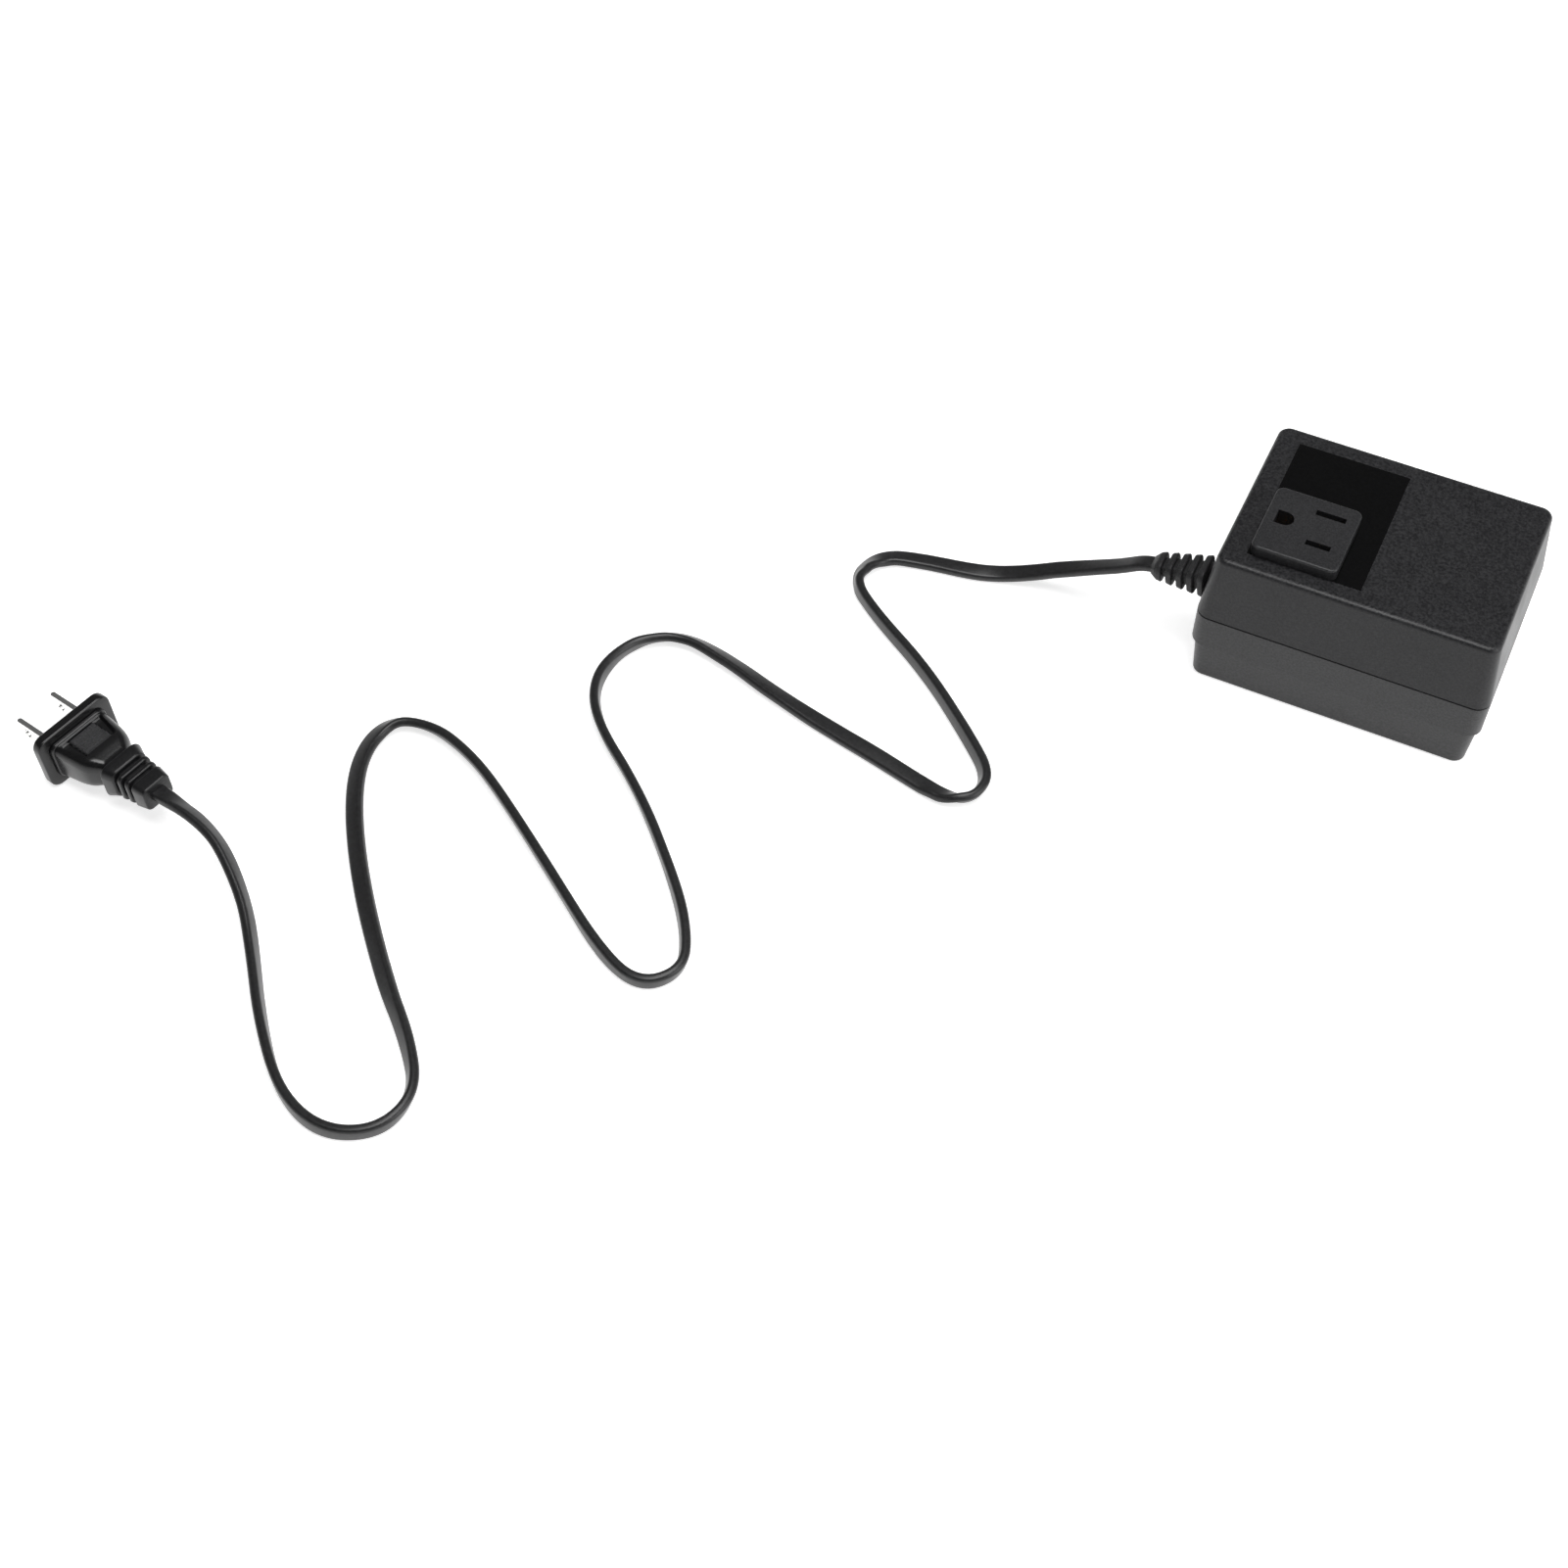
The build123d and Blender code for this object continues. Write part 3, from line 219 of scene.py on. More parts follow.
grain.links.new(enter.outputs["Strength"], strength.inputs[0])
grain.links.new(kept.outputs["Result"], strength.inputs[1])
grain.links.new(strength.outputs[0], bump.inputs["Strength"])
grain.links.new(bump.outputs["Normal"], leave.inputs["Normal"])
grain.links.new(fine.outputs["Fac"], contrast.inputs["Value"])
grain.links.new(kept.outputs["Result"], mask.inputs["Factor"])
grain.links.new(contrast.outputs["Result"], mask.inputs["B"])
grain.links.new(mask.outputs["Result"], leave.inputs["Mask"])

uneven = bpy.data.node_groups.new("broad_unevenness", "ShaderNodeTree")
socket(uneven, "Patches per metre", "NodeSocketFloat", "INPUT", 60.0)
socket(uneven, "Low", "NodeSocketFloat", "INPUT", 0.3)
socket(uneven, "High", "NodeSocketFloat", "INPUT", 0.4)
socket(uneven, "Value", "NodeSocketFloat", "OUTPUT")
enter = uneven.nodes.new("NodeGroupInput")
leave = uneven.nodes.new("NodeGroupOutput")
where = uneven.nodes.new("ShaderNodeTexCoord")
broad = uneven.nodes.new("ShaderNodeTexNoise")
broad.inputs["Detail"].default_value = UNEVEN_DETAIL
spread = uneven.nodes.new("ShaderNodeMapRange")
spread.inputs["From Min"].default_value = UNEVEN_RANGE[0]
spread.inputs["From Max"].default_value = UNEVEN_RANGE[1]
uneven.links.new(where.outputs["Object"], broad.inputs["Vector"])
uneven.links.new(enter.outputs["Patches per metre"], broad.inputs["Scale"])
uneven.links.new(broad.outputs["Fac"], spread.inputs["Value"])
uneven.links.new(enter.outputs["Low"], spread.inputs["To Min"])
uneven.links.new(enter.outputs["High"], spread.inputs["To Max"])
uneven.links.new(spread.outputs["Result"], leave.inputs["Value"])


def material(
    name, dark, light, rough, cells, height, strength=0.5, metallic=0.0, specular=0.5, walls=1.0
):
    """A material whose colour runs from dark to light over a fine grain, with uneven roughness."""
    made = bpy.data.materials.new(name)
    made.use_nodes = True
    tree = made.node_tree
    shader = tree.nodes["Principled BSDF"]
    shader.inputs["Metallic"].default_value = metallic
    shader.inputs["Specular IOR Level"].default_value = specular
    texture = tree.nodes.new("ShaderNodeGroup")
    texture.node_tree = grain
    texture.inputs["Cells per metre"].default_value = cells
    texture.inputs["Height"].default_value = height * MM
    texture.inputs["Strength"].default_value = strength
    texture.inputs["Kept on walls"].default_value = walls
    colour = tree.nodes.new("ShaderNodeMix")
    colour.data_type = "RGBA"
    colour.inputs["A"].default_value = (*dark, 1)
    colour.inputs["B"].default_value = (*light, 1)
    sheen = tree.nodes.new("ShaderNodeGroup")
    sheen.node_tree = uneven
    sheen.inputs["Low"].default_value = rough[0]
    sheen.inputs["High"].default_value = rough[1]
    tree.links.new(texture.outputs["Mask"], colour.inputs["Factor"])
    tree.links.new(colour.outputs["Result"], shader.inputs["Base Color"])
    tree.links.new(texture.outputs["Normal"], shader.inputs["Normal"])
    tree.links.new(sheen.outputs["Value"], shader.inputs["Roughness"])
    return made


def paint(made, *names):
    """Give one material to CAD nodes."""
    for name in names:
        mesh = nodes[name].data
        mesh.materials.clear()
        mesh.materials.append(made)


case_paint = material(
    "case_plastic", dark=(0.004, 0.004, 0.005), light=(0.032, 0.032, 0.034), rough=(0.34, 0.42),
    cells=1400, height=0.08, strength=1.0, specular=0.32, walls=0.45,
)
# The lower shell uses the case plastic again, with lighter colours and a little more sheen. The
# lighter colour is painted light: it stands for the white floor's light, which its walls reflect
# and throw back.
lower_paint_with_painted_light = material(
    "case_plastic_lower_painted_light", dark=(0.016, 0.016, 0.017), light=(0.044, 0.044, 0.046),
    rough=(0.34, 0.42), cells=1400, height=0.04, strength=0.7, specular=0.38, walls=0.8,
)
steel_paint = material(
    "screw_steel", dark=(0.40, 0.40, 0.41), light=(0.60, 0.60, 0.61), rough=(0.30, 0.42),
    cells=1500, height=0.006, metallic=1.0,
)
seam_paint = material(
    "seam_shadow", dark=(0.0008, 0.0008, 0.0009), light=(0.0016, 0.0016, 0.0017), rough=(0.7, 0.8),
    cells=1500, height=0.01, specular=0.1,
)
paint(case_paint, "upper_cover")
paint(lower_paint_with_painted_light, "lower_shell")
paint(steel_paint, "case_screws")

SEAM_LENGTH = 88.08
SEAM_DEPTH = 66.88
SEAM_CORNER = 4.5
SEAM_CORNER_STEPS = 8
SEAM_HEIGHT = 26.6
SEAM_GAP = 0.5
# Edges that turn by more than these angles, in degrees, are shaded as sharp.
SHARP_ANGLE = 35
MOULDED_SHARP_ANGLE = 50


def rounded(width, height, radius, steps, along=1):
    """The outline of a rounded rectangle round the origin, its long edges in a number of steps."""
    outline = []
    for turn, (sx, sy) in enumerate(((1, 1), (-1, 1), (-1, -1), (1, -1))):
        for step in range(steps + 1):
            angle = math.radians(90 * turn + 90 * step / steps)
            outline.append(
                (
                    sx * (width / 2 - radius) + radius * math.cos(angle),
                    sy * (height / 2 - radius) + radius * math.sin(angle),
                )
            )
        if turn % 2 == 0:
            for step in range(1, along):
                share = 1 - 2 * step / along
                outline.append((sx * (width / 2 - radius) * share, sy * height / 2))
    return outline


def piece(name, points, faces, finish, stands_for=(), angle=SHARP_ANGLE):
    """A mesh piece of the object, from points in millimetres, in the place of CAD nodes if any."""
    mesh = bpy.data.meshes.new(name)
    mesh.from_pydata([(x * MM, y * MM, z * MM) for x, y, z in points], [], faces)
    mesh.materials.append(finish)
    mesh.shade_smooth()
    mesh.set_sharp_from_angle(angle=math.radians(angle))
    made = new_object(name, mesh)
    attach(made, "root")
    if stands_for:
        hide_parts(*stands_for)
    return made


seam_outline = rounded(SEAM_LENGTH, SEAM_DEPTH, SEAM_CORNER, SEAM_CORNER_STEPS)
seam_points = []
for z in (SEAM_HEIGHT - SEAM_GAP / 2, SEAM_HEIGHT + SEAM_GAP / 2):
    seam_points += [Vector((x, y, z)) for x, y in seam_outline]
count = len(seam_outline)
seam_faces = [(i, (i + 1) % count, count + (i + 1) % count, count + i) for i in range(count)]
piece("case_seam_gap", seam_points, seam_faces, seam_paint)

# Outlet. A raised face of smoother plastic with two blade slots and an earth hole. It is held by
# two screws through the carrier of its three brass contacts.

outlet_paint = material(
    "outlet_plastic", dark=(0.010, 0.010, 0.011), light=(0.030, 0.030, 0.032), rough=(0.38, 0.46),
    cells=1800, height=0.04, strength=0.7, specular=0.36,
)
brass_paint = material(
    "contact_brass", dark=(0.60, 0.42, 0.18), light=(0.76, 0.56, 0.26), rough=(0.28, 0.40),
    cells=1500, height=0.004, metallic=1.0,
)
paint(outlet_paint, "outlet_block", "contact_carrier")
paint(brass_paint, "line_contact", "neutral_contact", "earth_contact")
paint(steel_paint, "outlet_screws")

# Label. A thin dark plastic film with a smooth, plain face and an opening for the outlet. It is
# glued on the upper cover.

label_paint = material(
    "label_film", dark=(0.0012, 0.0012, 0.0013), light=(0.0024, 0.0024, 0.0026), rough=(0.20, 0.26),
    cells=900, height=0.004, specular=0.22,
)
paint(label_paint, "rating_label")

# Transformer. Steel laminations round a nylon bobbin with two copper windings under tape, held down
# by a folded steel strap. Four nickel-plated pins carry the windings' ends.

core_paint = material(
    "core_steel", dark=(0.10, 0.10, 0.11), light=(0.24, 0.24, 0.25), rough=(0.45, 0.60),
    cells=2200, height=0.02, metallic=0.9,
)
nylon_paint = material(
    "bobbin_nylon", dark=(0.60, 0.57, 0.48), light=(0.70, 0.67, 0.58), rough=(0.45, 0.55),
    cells=1500, height=0.01,
)
copper_paint = material(
    "winding_copper", dark=(0.42, 0.14, 0.05), light=(0.60, 0.24, 0.10), rough=(0.25, 0.35),
    cells=1500, height=0.02, metallic=0.9,
)
tape_paint = material(
    "winding_tape", dark=(0.62, 0.45, 0.05), light=(0.74, 0.56, 0.10), rough=(0.25, 0.35),
    cells=900, height=0.01,
)
nickel_paint = material(
    "blade_nickel", dark=(0.84, 0.84, 0.83), light=(0.92, 0.92, 0.91), rough=(0.12, 0.18),
    cells=1200, height=0.004, metallic=1.0,
)
paint(core_paint, "core_e_laminations", "core_i_laminations")
paint(nylon_paint, "coil_bobbin")
paint(copper_paint, "primary_winding", "secondary_winding")
paint(tape_paint, "winding_barrier_tape", "outer_winding_tape")
paint(nickel_paint, "bobbin_terminals")
paint(steel_paint, "core_strap", "core_screws")

# Fuse and leads. A thermal fuse in a metal can, and five insulated leads that join the cord, the
# fuse, the transformer and the outlet. The black ones have the same jacket as the cord.

cord_paint = material(
    "cord_jacket", dark=(0.015, 0.015, 0.0155), light=(0.024, 0.024, 0.025), rough=(0.30, 0.36),
    cells=900, height=0.01, specular=0.40,
)
white_paint = material(
    "lead_white", dark=(0.66, 0.66, 0.63), light=(0.76, 0.76, 0.73), rough=(0.35, 0.45),
    cells=1200, height=0.006,
)
red_paint = material(
    "lead_red", dark=(0.40, 0.03, 0.02), light=(0.52, 0.05, 0.04), rough=(0.35, 0.45),
    cells=1200, height=0.006,
)
paint(steel_paint, "thermal_fuse")
paint(cord_paint, "lead_cord_to_fuse", "lead_fuse_to_coil")
paint(white_paint, "lead_cord_to_coil", "lead_neutral_outlet")
paint(red_paint, "lead_line_outlet")

# Plug. A flat two-blade plug moulded on the cord, lying on the lower edge of its flange. One skin
# runs from the flange over a ridge, the gripped body, the collar and the ribs to the end block. The
# bridge inside it holds two nickel-plated blades.

plug_paint = material(
    "plug_moulding", dark=(0.005, 0.005, 0.0055), light=(0.009, 0.009, 0.0095), rough=(0.20, 0.27),
    cells=1500, height=0.006,
)
grip_paint = material(
    "plug_grip", dark=(0.014, 0.014, 0.015), light=(0.044, 0.044, 0.046), rough=(0.44, 0.52),
    cells=1800, height=0.04, strength=0.8,
)
tail_paint = material(
    "plug_tail", dark=(0.007, 0.007, 0.0075), light=(0.014, 0.014, 0.015), rough=(0.28, 0.34),
    cells=1500, height=0.01, specular=0.40,
)
paint(outlet_paint, "plug_bridge")
paint(nickel_paint, "plug_blades")


def tube_faces(rings, count):
    """Faces of a closed tube of rings with the same count of points, with flat ends."""
    faces = []
    for ring in range(rings - 1):
        for i in range(count):
            j = (i + 1) % count
            here, after = ring * count, (ring + 1) * count
            faces.append((here + i, here + j, after + j, after + i))
    faces.append(tuple(reversed(range(count))))
    faces.append(tuple(range((rings - 1) * count, rings * count)))
    return faces


def axes(heading, tilt):
    """Directions along, across and over a piece that heads a way in plan and tilts up in front."""
    turn, rise = math.radians(heading), math.radians(tilt)
    level = math.cos(rise)
    back = Vector((-math.cos(turn) * level, -math.sin(turn) * level, -math.sin(rise)))
    across = Vector((math.sin(turn), -math.cos(turn), 0))
    return back, across, back.cross(across)


# How far round a block's edge its stations stand, as shares of the edge's rounding.
EDGE_SHARES = (0, 0.3, 0.65, 1)


def block(start, end, front, rear, corner, edge):
    """Stations of a block with rounded front and rear edges: distance, width, height, corner."""
    stations = []
    for share in EDGE_SHARES:
        inset = edge * (1 - math.sqrt(1 - (1 - share) ** 2))
        stations.append((start + edge * share, front[0] - 2 * inset, front[1] - 2 * inset, corner))
    for share in reversed(EDGE_SHARES):
        inset = edge * (1 - math.sqrt(1 - (1 - share) ** 2))
        stations.append((end - edge * share, rear[0] - 2 * inset, rear[1] - 2 * inset, corner))
    return stations


def between(table, at):
    """The table's values at a distance, joined by smooth curves through its rows."""
    rows = [table[0]] + list(table) + [table[-1]]
    for before, low, high, after in zip(rows, rows[1:], rows[2:], rows[3:]):
        if at <= high[0] or high is table[-1]:
            span = high[0] - low[0]
            t = min(1.0, max(0.0, (at - low[0]) / span))
            values = []
            for k in range(1, len(low)):
                slope_low = (high[k] - before[k]) / max(high[0] - before[0], span) * span
                slope_high = (after[k] - low[k]) / max(after[0] - low[0], span) * span
                values.append(
                    low[k] * (2 * t**3 - 3 * t**2 + 1)
                    + slope_low * (t**3 - 2 * t**2 + t)
                    + high[k] * (3 * t**2 - 2 * t**3)
                    + slope_high * (t**3 - t**2)
                )
            return values
    return list(table[-1][1:])


def step_up(value, start, end):
    """A smooth step from 0 at start to 1 at end."""
    share = min(1.0, max(0.0, (value - start) / (end - start)))
    return share * share * (3 - 2 * share)


PLUG_ORIGIN = Vector((-325.54, -204.46, 9.25))
PLUG_HEADING = 167.7
PLUG_TILT = -3.9
RING_STEPS = 6
RING_ALONG = 44
# Blocks along the plug: start, end, size in front, size at the rear, corner, rounding of the edges.
PLUG_FLANGE = (0, 3.2, (26.4, 18.6), (26.4, 18.6), 3.4, 0.55)
PLUG_STEP = (3.2, 4.6, (20.6, 13.2), (20.4, 13.0), 2.6, 0.5)
PLUG_COLLAR = (21.4, 25.4, (15.0, 12.0), (12.8, 10.6), 3.0, 0.6)
PLUG_TAIL = (
    (26.7, 28.1, (11.8, 9.8), (11.6, 9.6), 1.8, 0.4),
    (29.5, 30.9, (11.2, 9.3), (11.0, 9.2), 1.8, 0.4),
    (32.2, 36.8, (11.0, 9.1), (9.8, 8.4), 1.8, 0.5),
)
# Width, height and corner of the grooves between the collar and the tail's blocks.
PLUG_GROOVES = ((8.9, 7.4, 1.6), (8.7, 7.2, 1.6), (8.5, 7.0, 1.6))
# The body between the step and the collar: distance, width, height, corner.
PLUG_BODY = (
    (4.5, 19.7, 12.3, 2.6), (9.0, 18.9, 12.1, 3.0), (13.0, 17.9, 11.9, 3.4),
    (15.8, 16.4, 11.2, 3.6), (18.0, 13.6, 9.9, 3.2), (19.6, 11.2, 8.9, 2.8),
    (21.4, 10.6, 8.8, 2.6),
)
BODY_FINE_END = 14.6
BODY_FINE_STEP = 0.175
BODY_STEP = 0.45
# The hollow in the two broad faces, and the slopes at its sides, its front and its rear.
HOLLOW_DEPTH = 1.15
HOLLOW_HALF = 8.0
HOLLOW_START = 4.9
HOLLOW_END = 16.0
HOLLOW_SIDE_SLOPE = 0.5
HOLLOW_FRONT_SLOPE = 0.6
HOLLOW_REAR_SLOPE = (0.9, 0.3)
# The flat grip that stands in the hollow, how deep it lies, and the fine ribs across it.
GRIP_HALF = 4.5
GRIP_FRONT = 6.0
GRIP_REAR = 14.2
GRIP_SLOPE = 0.5
GRIP_END_SLOPE = 0.4
GRIP_SUNK = 0.10
GRIP_SUNK_MORE = 0.25
GRIP_SUNK_RUN = 3
RIBBED_HALF = 3.8
RIBBED_FROM = 9.4
RIBBED_TO = 13.6
RIB_PITCH = 0.7
RIB_DEPTH = 0.10
# Where the skin's finish changes: a little beyond the grip, and from the start of the tail on.
GRIP_FINISH_SIDE = 0.1
GRIP_FINISH_FRONT = 0.2
TAIL_FROM = 19.7
BODY_MARGIN = 0.1
BROAD_FACE_MARGIN = 0.001
SMOOTH_FINISH, GRIP_FINISH, TAIL_FINISH = 0, 1, 2
plug_back, plug_across, plug_up = axes(PLUG_HEADING, PLUG_TILT)


def grip_hollow(along, across):
    """How far the body's broad faces are sunk, round a flat grip that stands in the hollow."""
    side = abs(across)
    slope = HOLLOW_SIDE_SLOPE
    sunk = HOLLOW_DEPTH * (1 - step_up(side, HOLLOW_HALF - slope, HOLLOW_HALF + slope))
    sunk *= step_up(along, HOLLOW_START, HOLLOW_START + HOLLOW_FRONT_SLOPE)
    rear_start, rear_end = GRIP_REAR - HOLLOW_REAR_SLOPE[0], GRIP_REAR + HOLLOW_REAR_SLOPE[1]
    sunk *= 1 - step_up(along, rear_start, rear_end)
    on_grip = 1 - step_up(side, GRIP_HALF, GRIP_HALF + GRIP_SLOPE)
    on_grip *= step_up(along, GRIP_FRONT - GRIP_SLOPE, GRIP_FRONT)
    ribs = 0.0
    if side < RIBBED_HALF and RIBBED_FROM < along < RIBBED_TO:
        wave = math.cos(2 * math.pi * (along - RIBBED_FROM) / RIB_PITCH)
        ribs = RIB_DEPTH * (0.5 + 0.5 * wave)
    shallow = GRIP_SUNK_MORE * step_up(along, GRIP_FRONT, GRIP_FRONT + GRIP_SUNK_RUN) + GRIP_SUNK
    ending = 1 - step_up(along, GRIP_REAR - GRIP_END_SLOPE, GRIP_REAR)
    return sunk * (1 - on_grip) + on_grip * (shallow + ribs) * ending


stations = block(*PLUG_FLANGE) + block(*PLUG_STEP)
along = PLUG_BODY[0][0]
while along < PLUG_BODY[-1][0]:
    stations.append((along, *between(PLUG_BODY, along)))
    along += BODY_FINE_STEP if along < BODY_FINE_END else BODY_STEP
stations += block(*PLUG_COLLAR)
before = PLUG_COLLAR
for groove, tail_block in zip(PLUG_GROOVES, PLUG_TAIL):
    stations += [(before[1], *groove), (tail_block[0], *groove)]
    stations += block(*tail_block)
    before = tail_block
plug_points = []
plug_finishes = []
for along, width, height, corner in stations:
    ring = rounded(width, height, corner, RING_STEPS, RING_ALONG)
    for a, u in ring:
        broad_side = abs(u) > height / 2 - BROAD_FACE_MARGIN
        on_grip = broad_side and abs(a) < GRIP_HALF + GRIP_FINISH_SIDE
        on_grip = on_grip and GRIP_FRONT - GRIP_FINISH_FRONT < along < GRIP_REAR - GRIP_END_SLOPE
        if on_grip:
            plug_finishes.append(GRIP_FINISH)
        else:
            plug_finishes.append(TAIL_FINISH if along > TAIL_FROM else SMOOTH_FINISH)
        if PLUG_BODY[0][0] - BODY_MARGIN < along < HOLLOW_END and broad_side:
            u -= math.copysign(grip_hollow(along, a), u)
        plug_points.append(PLUG_ORIGIN + plug_back * along + plug_across * a + plug_up * u)
plug_skin = piece(
    "plug_skin", plug_points, tube_faces(len(stations), len(ring)), plug_paint,
    stands_for=("plug_body",), angle=MOULDED_SHARP_ANGLE,
)
plug_skin.data.materials.append(grip_paint)
plug_skin.data.materials.append(tail_paint)
for face in plug_skin.data.polygons:
    face.material_index = plug_finishes[face.vertices[0]]

# Strain relief. A rubber sleeve with five rounded ribs, moulded on the cord and clamped in the
# case's left wall. It tapers and droops towards the cord.

relief_paint = material(
    "relief_rubber", dark=(0.012, 0.012, 0.0125), light=(0.030, 0.030, 0.031), rough=(0.46, 0.54),
    cells=1800, height=0.03, strength=0.7, specular=0.34,
)
RELIEF_ROOT = Vector((-44.1, -17.0, 26.6))
RELIEF_DROOP = 8.7
RELIEF_LENGTH = 18.2
RELIEF_START = 0.84
RELIEF_TAPER_END = 16.7
RELIEF_FRONT = (11.6, 9.8)
RELIEF_REAR = (8.4, 6.8)
RELIEF_COUNT = 5
RELIEF_RIB = 2.1
RELIEF_GROOVE = 3.0
RELIEF_CORNER = 2.6
RELIEF_EDGE = 0.5
RELIEF_GROOVE_CORNER = 1.8
# The step down behind the last rib, and its corner.
RELIEF_STEP = 0.6
RELIEF_STEP_CORNER = 2.2
# The tip where the cord comes out: distance from the end, width, height, corner.
RELIEF_TIP = ((0.4, 6.4, 4.3, 1.6), (0, 5.9, 3.6, 1.4))
relief_out, relief_across, relief_up = axes(0.0, RELIEF_DROOP)


def relief_size(along):
    """Width and height over the ribs at a distance from the wall."""
    share = (along - RELIEF_START) / (RELIEF_TAPER_END - RELIEF_START)
    return [front + (rear - front) * share for front, rear in zip(RELIEF_FRONT, RELIEF_REAR)]


def groove(along, size):
    """One station at the bottom of a groove, under ribs of a size."""
    return (along, size[0] - RELIEF_GROOVE, size[1] - RELIEF_GROOVE, RELIEF_GROOVE_CORNER)


stations = []
rib_step = (RELIEF_TAPER_END - RELIEF_RIB - RELIEF_START) / (RELIEF_COUNT - 1)
for rib in range(RELIEF_COUNT):
    start = RELIEF_START + rib * rib_step
    end = start + RELIEF_RIB
    if rib:
        stations.append(groove(start, relief_size(start)))
    stations += block(
        start, end, relief_size(start), relief_size(end), RELIEF_CORNER, RELIEF_EDGE
    )
    if rib < RELIEF_COUNT - 1:
        stations.append(groove(end, relief_size(end)))
width, height = relief_size(RELIEF_TAPER_END)
stations.append(
    (RELIEF_TAPER_END, width - RELIEF_STEP, height - RELIEF_STEP, RELIEF_STEP_CORNER)
)
stations += [(RELIEF_LENGTH - short, *size) for short, *size in RELIEF_TIP]
relief_points = []
for along, width, height, corner in stations:
    ring = rounded(width, height, corner, RING_STEPS)
    for a, u in ring:
        relief_points.append(RELIEF_ROOT + relief_out * along + relief_across * a + relief_up * u)
piece(
    "relief_skin", relief_points, tube_faces(len(stations), len(ring)), relief_paint,
    stands_for=("strain_relief",), angle=MOULDED_SHARP_ANGLE,
)

# Power cord. A flat two-core lead with a glossy jacket. Its line is a smooth spline on the route's
# points, and the flat section follows it, twisting so that it stands on edge in the tight bends.

paint(cord_paint, "cord_tail")

CORD_WIDTH = 5.4
CORD_THICKNESS = 2.8
CORD_CORNER = 1.1
CORD_CORNER_STEPS = 5
GUIDE_STEPS = 16
GUIDE_ORDER = 3
# The route runs half a width over the floor, and the section is let down until it touches. That
# fades out up to a free height, and towards the two ends.
FREE_HEIGHT = 8.0
FREE_FADE = 5.0
END_FADE = 30.0
route = [
    (-62.09, -17.0, 23.85), (-65.06, -17.0, 23.40),
    (-71.5, -17.0, 18.9), (-79.0, -17.0, 14.8), (-87.0, -17.0, 10.4), (-95.0, -17.9, 6.7),
    (-103.0, -19.6, 4.1), (-110.0, -21.4, 2.7), (-116.5, -23.6, 2.7), (-132.0, -25.8, 2.7),
    (-145.5, -30.0, 2.7), (-149.3, -43.5, 2.7),
    (-137.0, -53.9, 2.7), (-113.2, -68.6, 2.7), (-91.0, -87.5, 2.7), (-81.0, -97.5, 2.7),
    (-81.6, -106.5, 2.7), (-88.4, -110.0, 2.7), (-99.4, -107.6, 2.7), (-118.0, -103.2, 2.7),
    (-147.0, -97.0, 2.7), (-170.0, -89.8, 2.7), (-187.5, -87.2, 2.7), (-199.5, -97.0, 2.7),
    (-202.5, -114.0, 2.7), (-194.0, -129.0, 2.7), (-169.9, -146.7, 2.7), (-146.2, -170.8, 2.7),
    (-135.5, -184.5, 2.7), (-130.5, -196.5, 2.7), (-138.5, -206.0, 2.7), (-153.0, -201.5, 2.7),
    (-178.0, -183.8, 2.7), (-206.0, -164.6, 2.7), (-221.0, -156.0, 2.7), (-236.0, -151.3, 2.7),
    (-248.3, -153.8, 2.7), (-251.3, -166.0, 2.7), (-245.0, -183.0, 2.7), (-227.5, -207.5, 2.7),
    (-203.0, -234.0, 2.7), (-187.0, -248.0, 2.7), (-176.5, -261.0, 2.7), (-178.8, -275.3, 2.7),
    (-193.0, -282.3, 2.7), (-209.5, -276.5, 2.7), (-226.0, -260.0, 2.7), (-241.0, -241.0, 2.7),
    (-250.1, -230.2, 5.0), (-263.1, -219.8, 9.2), (-272.5, -215.8, 11.4),
    (-281.87, -213.98, 12.29), (-289.67, -212.28, 11.75),
]
# How far the section is turned, in degrees, at distances along the cord in millimetres:
# 180 and 0 lie flat, and 90 stands on edge.
turns = [
    (0, 180), (14, 180), (30, 190), (55, 190), (75, 179), (88, 170), (97, 138), (104, 97),
    (112, 90), (150, 96), (180, 102), (192, 110), (199, 120), (207, 165), (213, 180), (230, 186),
    (246, 178), (268, 162), (288, 150), (302, 136), (311, 127), (320, 107), (336, 84), (352, 79),
    (374, 80), (400, 89), (430, 99), (445, 105), (458, 97), (472, 88), (495, 95), (535, 99),
    (560, 107), (577, 128), (588, 156), (604, 154), (645, 152), (672, 142), (692, 124), (712, 111),
    (728, 97), (745, 86), (762, 91), (790, 102), (815, 112), (838, 127), (854, 142), (864, 172),
    (900, 180),
]

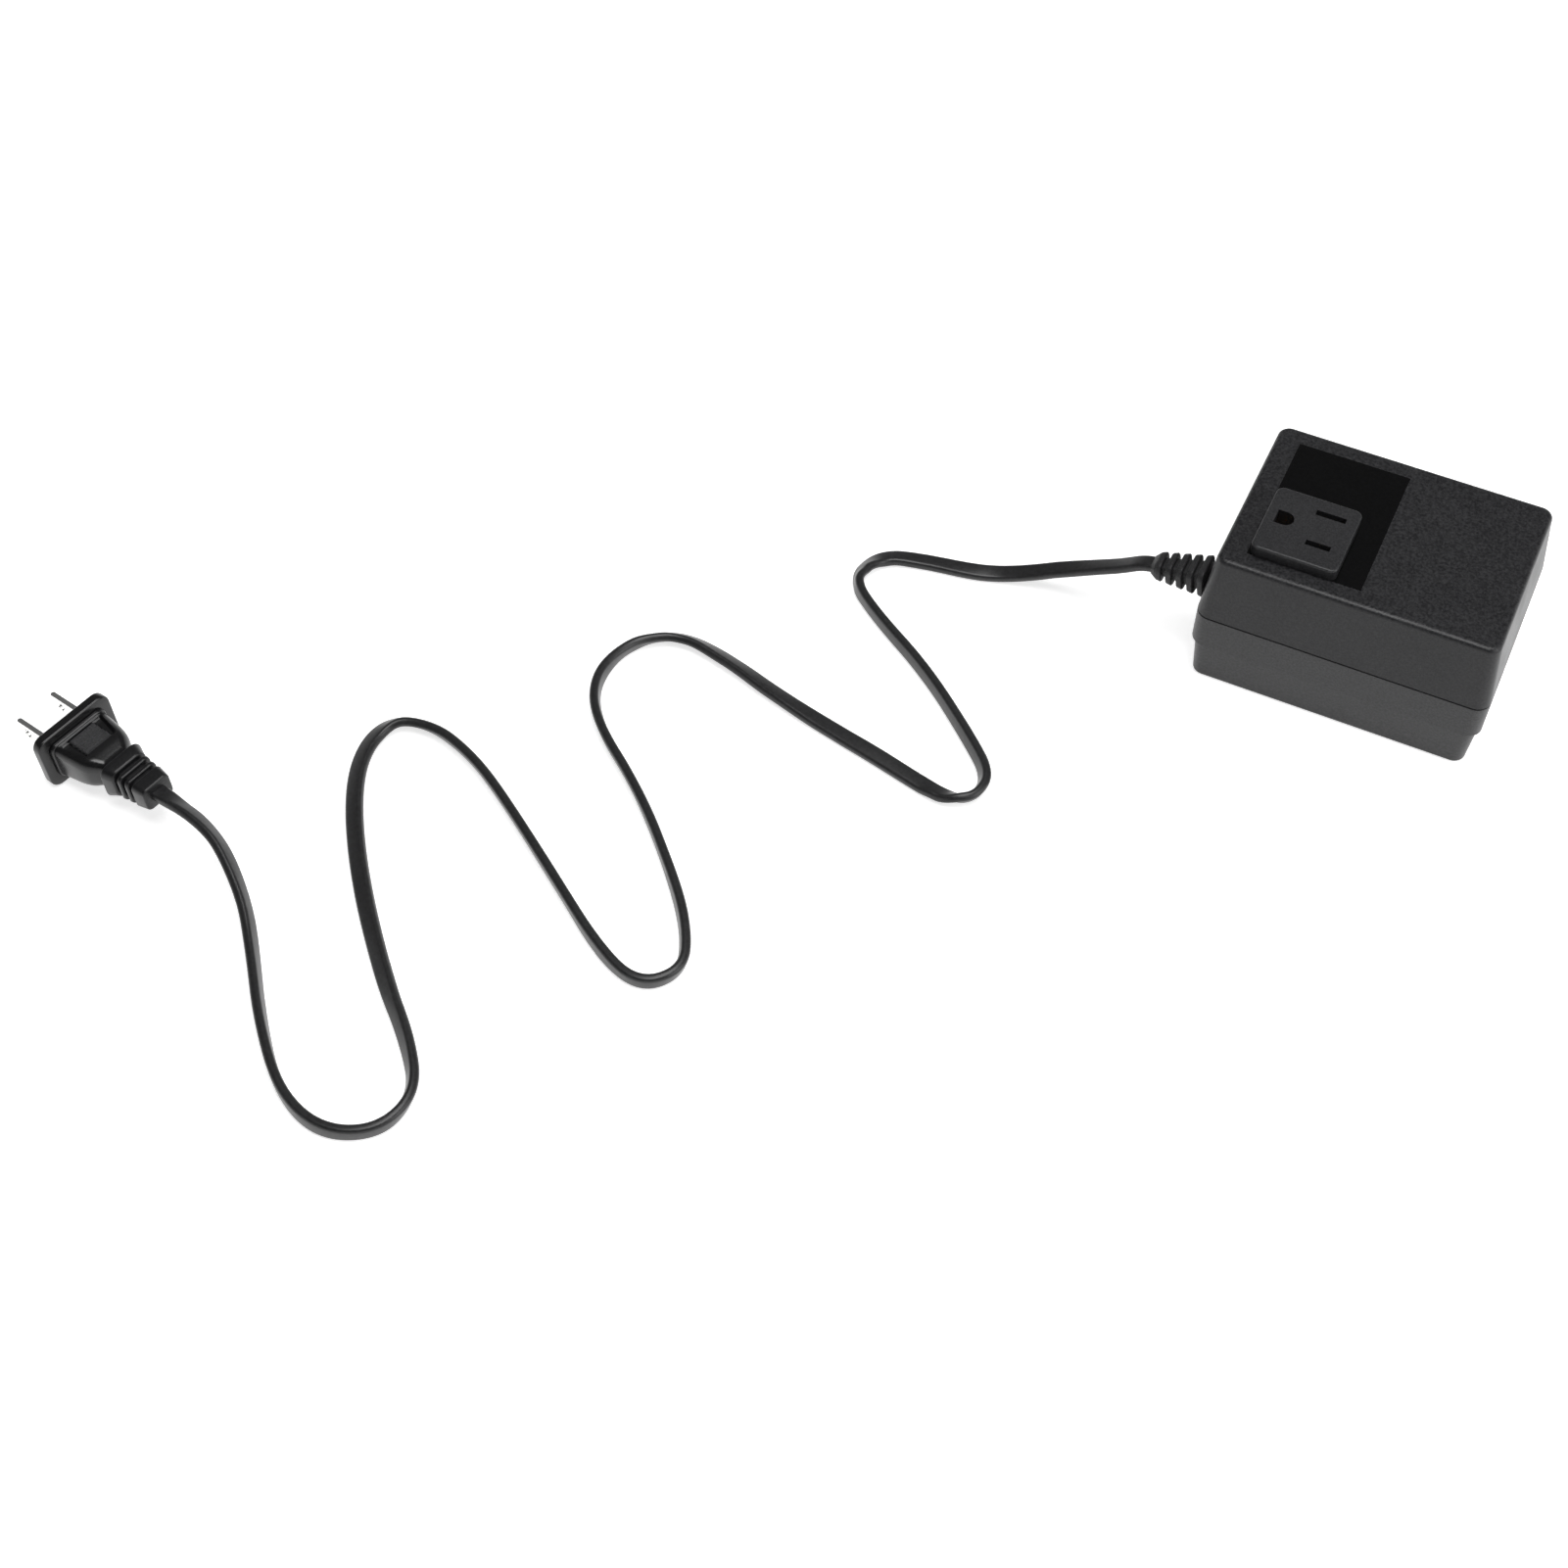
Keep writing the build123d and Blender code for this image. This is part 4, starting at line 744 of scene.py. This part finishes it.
guide = bpy.data.curves.new("cord_guide", "CURVE")
guide.dimensions = "3D"
guide.resolution_u = GUIDE_STEPS
spline = guide.splines.new("NURBS")
spline.points.add(len(route) - 1)
for point, place in zip(spline.points, route):
    point.co = (place[0] * MM, place[1] * MM, place[2] * MM, 1)
spline.order_u = GUIDE_ORDER
spline.use_endpoint_u = True
guide_object = new_object("cord_guide", guide)
bpy.context.view_layer.update()
line = bpy.data.meshes.new_from_object(guide_object)
centres = [v.co / MM for v in line.vertices]
bpy.data.objects.remove(guide_object)


def eased(table, at):
    """The table's value at a distance, eased between its entries."""
    for (a, low), (b, high) in zip(table, table[1:]):
        if at <= b:
            share = max(0.0, (at - a) / (b - a))
            return low + (high - low) * share * share * (3 - 2 * share)
    return table[-1][1]


travelled = [0.0]
for a, b in zip(centres, centres[1:]):
    travelled.append(travelled[-1] + (b - a).length)
outline = rounded(CORD_WIDTH, CORD_THICKNESS, CORD_CORNER, CORD_CORNER_STEPS)
cord_points = []
for i, centre in enumerate(centres):
    ahead = (centres[min(i + 1, len(centres) - 1)] - centres[max(i - 1, 0)]).normalized()
    up = (Vector((0, 0, 1)) - ahead * ahead.z).normalized()
    side = ahead.cross(up)
    turn = math.radians(eased(turns, travelled[i]))
    wide = side * math.cos(turn) + up * math.sin(turn)
    thin = wide.cross(ahead)
    reach = abs(wide.z) * (CORD_WIDTH / 2 - CORD_CORNER) + CORD_CORNER
    reach += abs(thin.z) * (CORD_THICKNESS / 2 - CORD_CORNER)
    near_floor = min(1.0, max(0.0, (FREE_HEIGHT - centre.z) / FREE_FADE))
    ends = min(1.0, travelled[i] / END_FADE, (travelled[-1] - travelled[i]) / END_FADE)
    lowered = centre - Vector((0, 0, (CORD_WIDTH / 2 - reach) * near_floor * ends))
    for w, t in outline:
        cord_points.append(lowered + wide * w + thin * t)
cord = piece(
    "power_cord_flat", cord_points, tube_faces(len(centres), len(outline)), cord_paint,
    stands_for=("power_cord",),
)
tuple(v * MM for v in route[0])
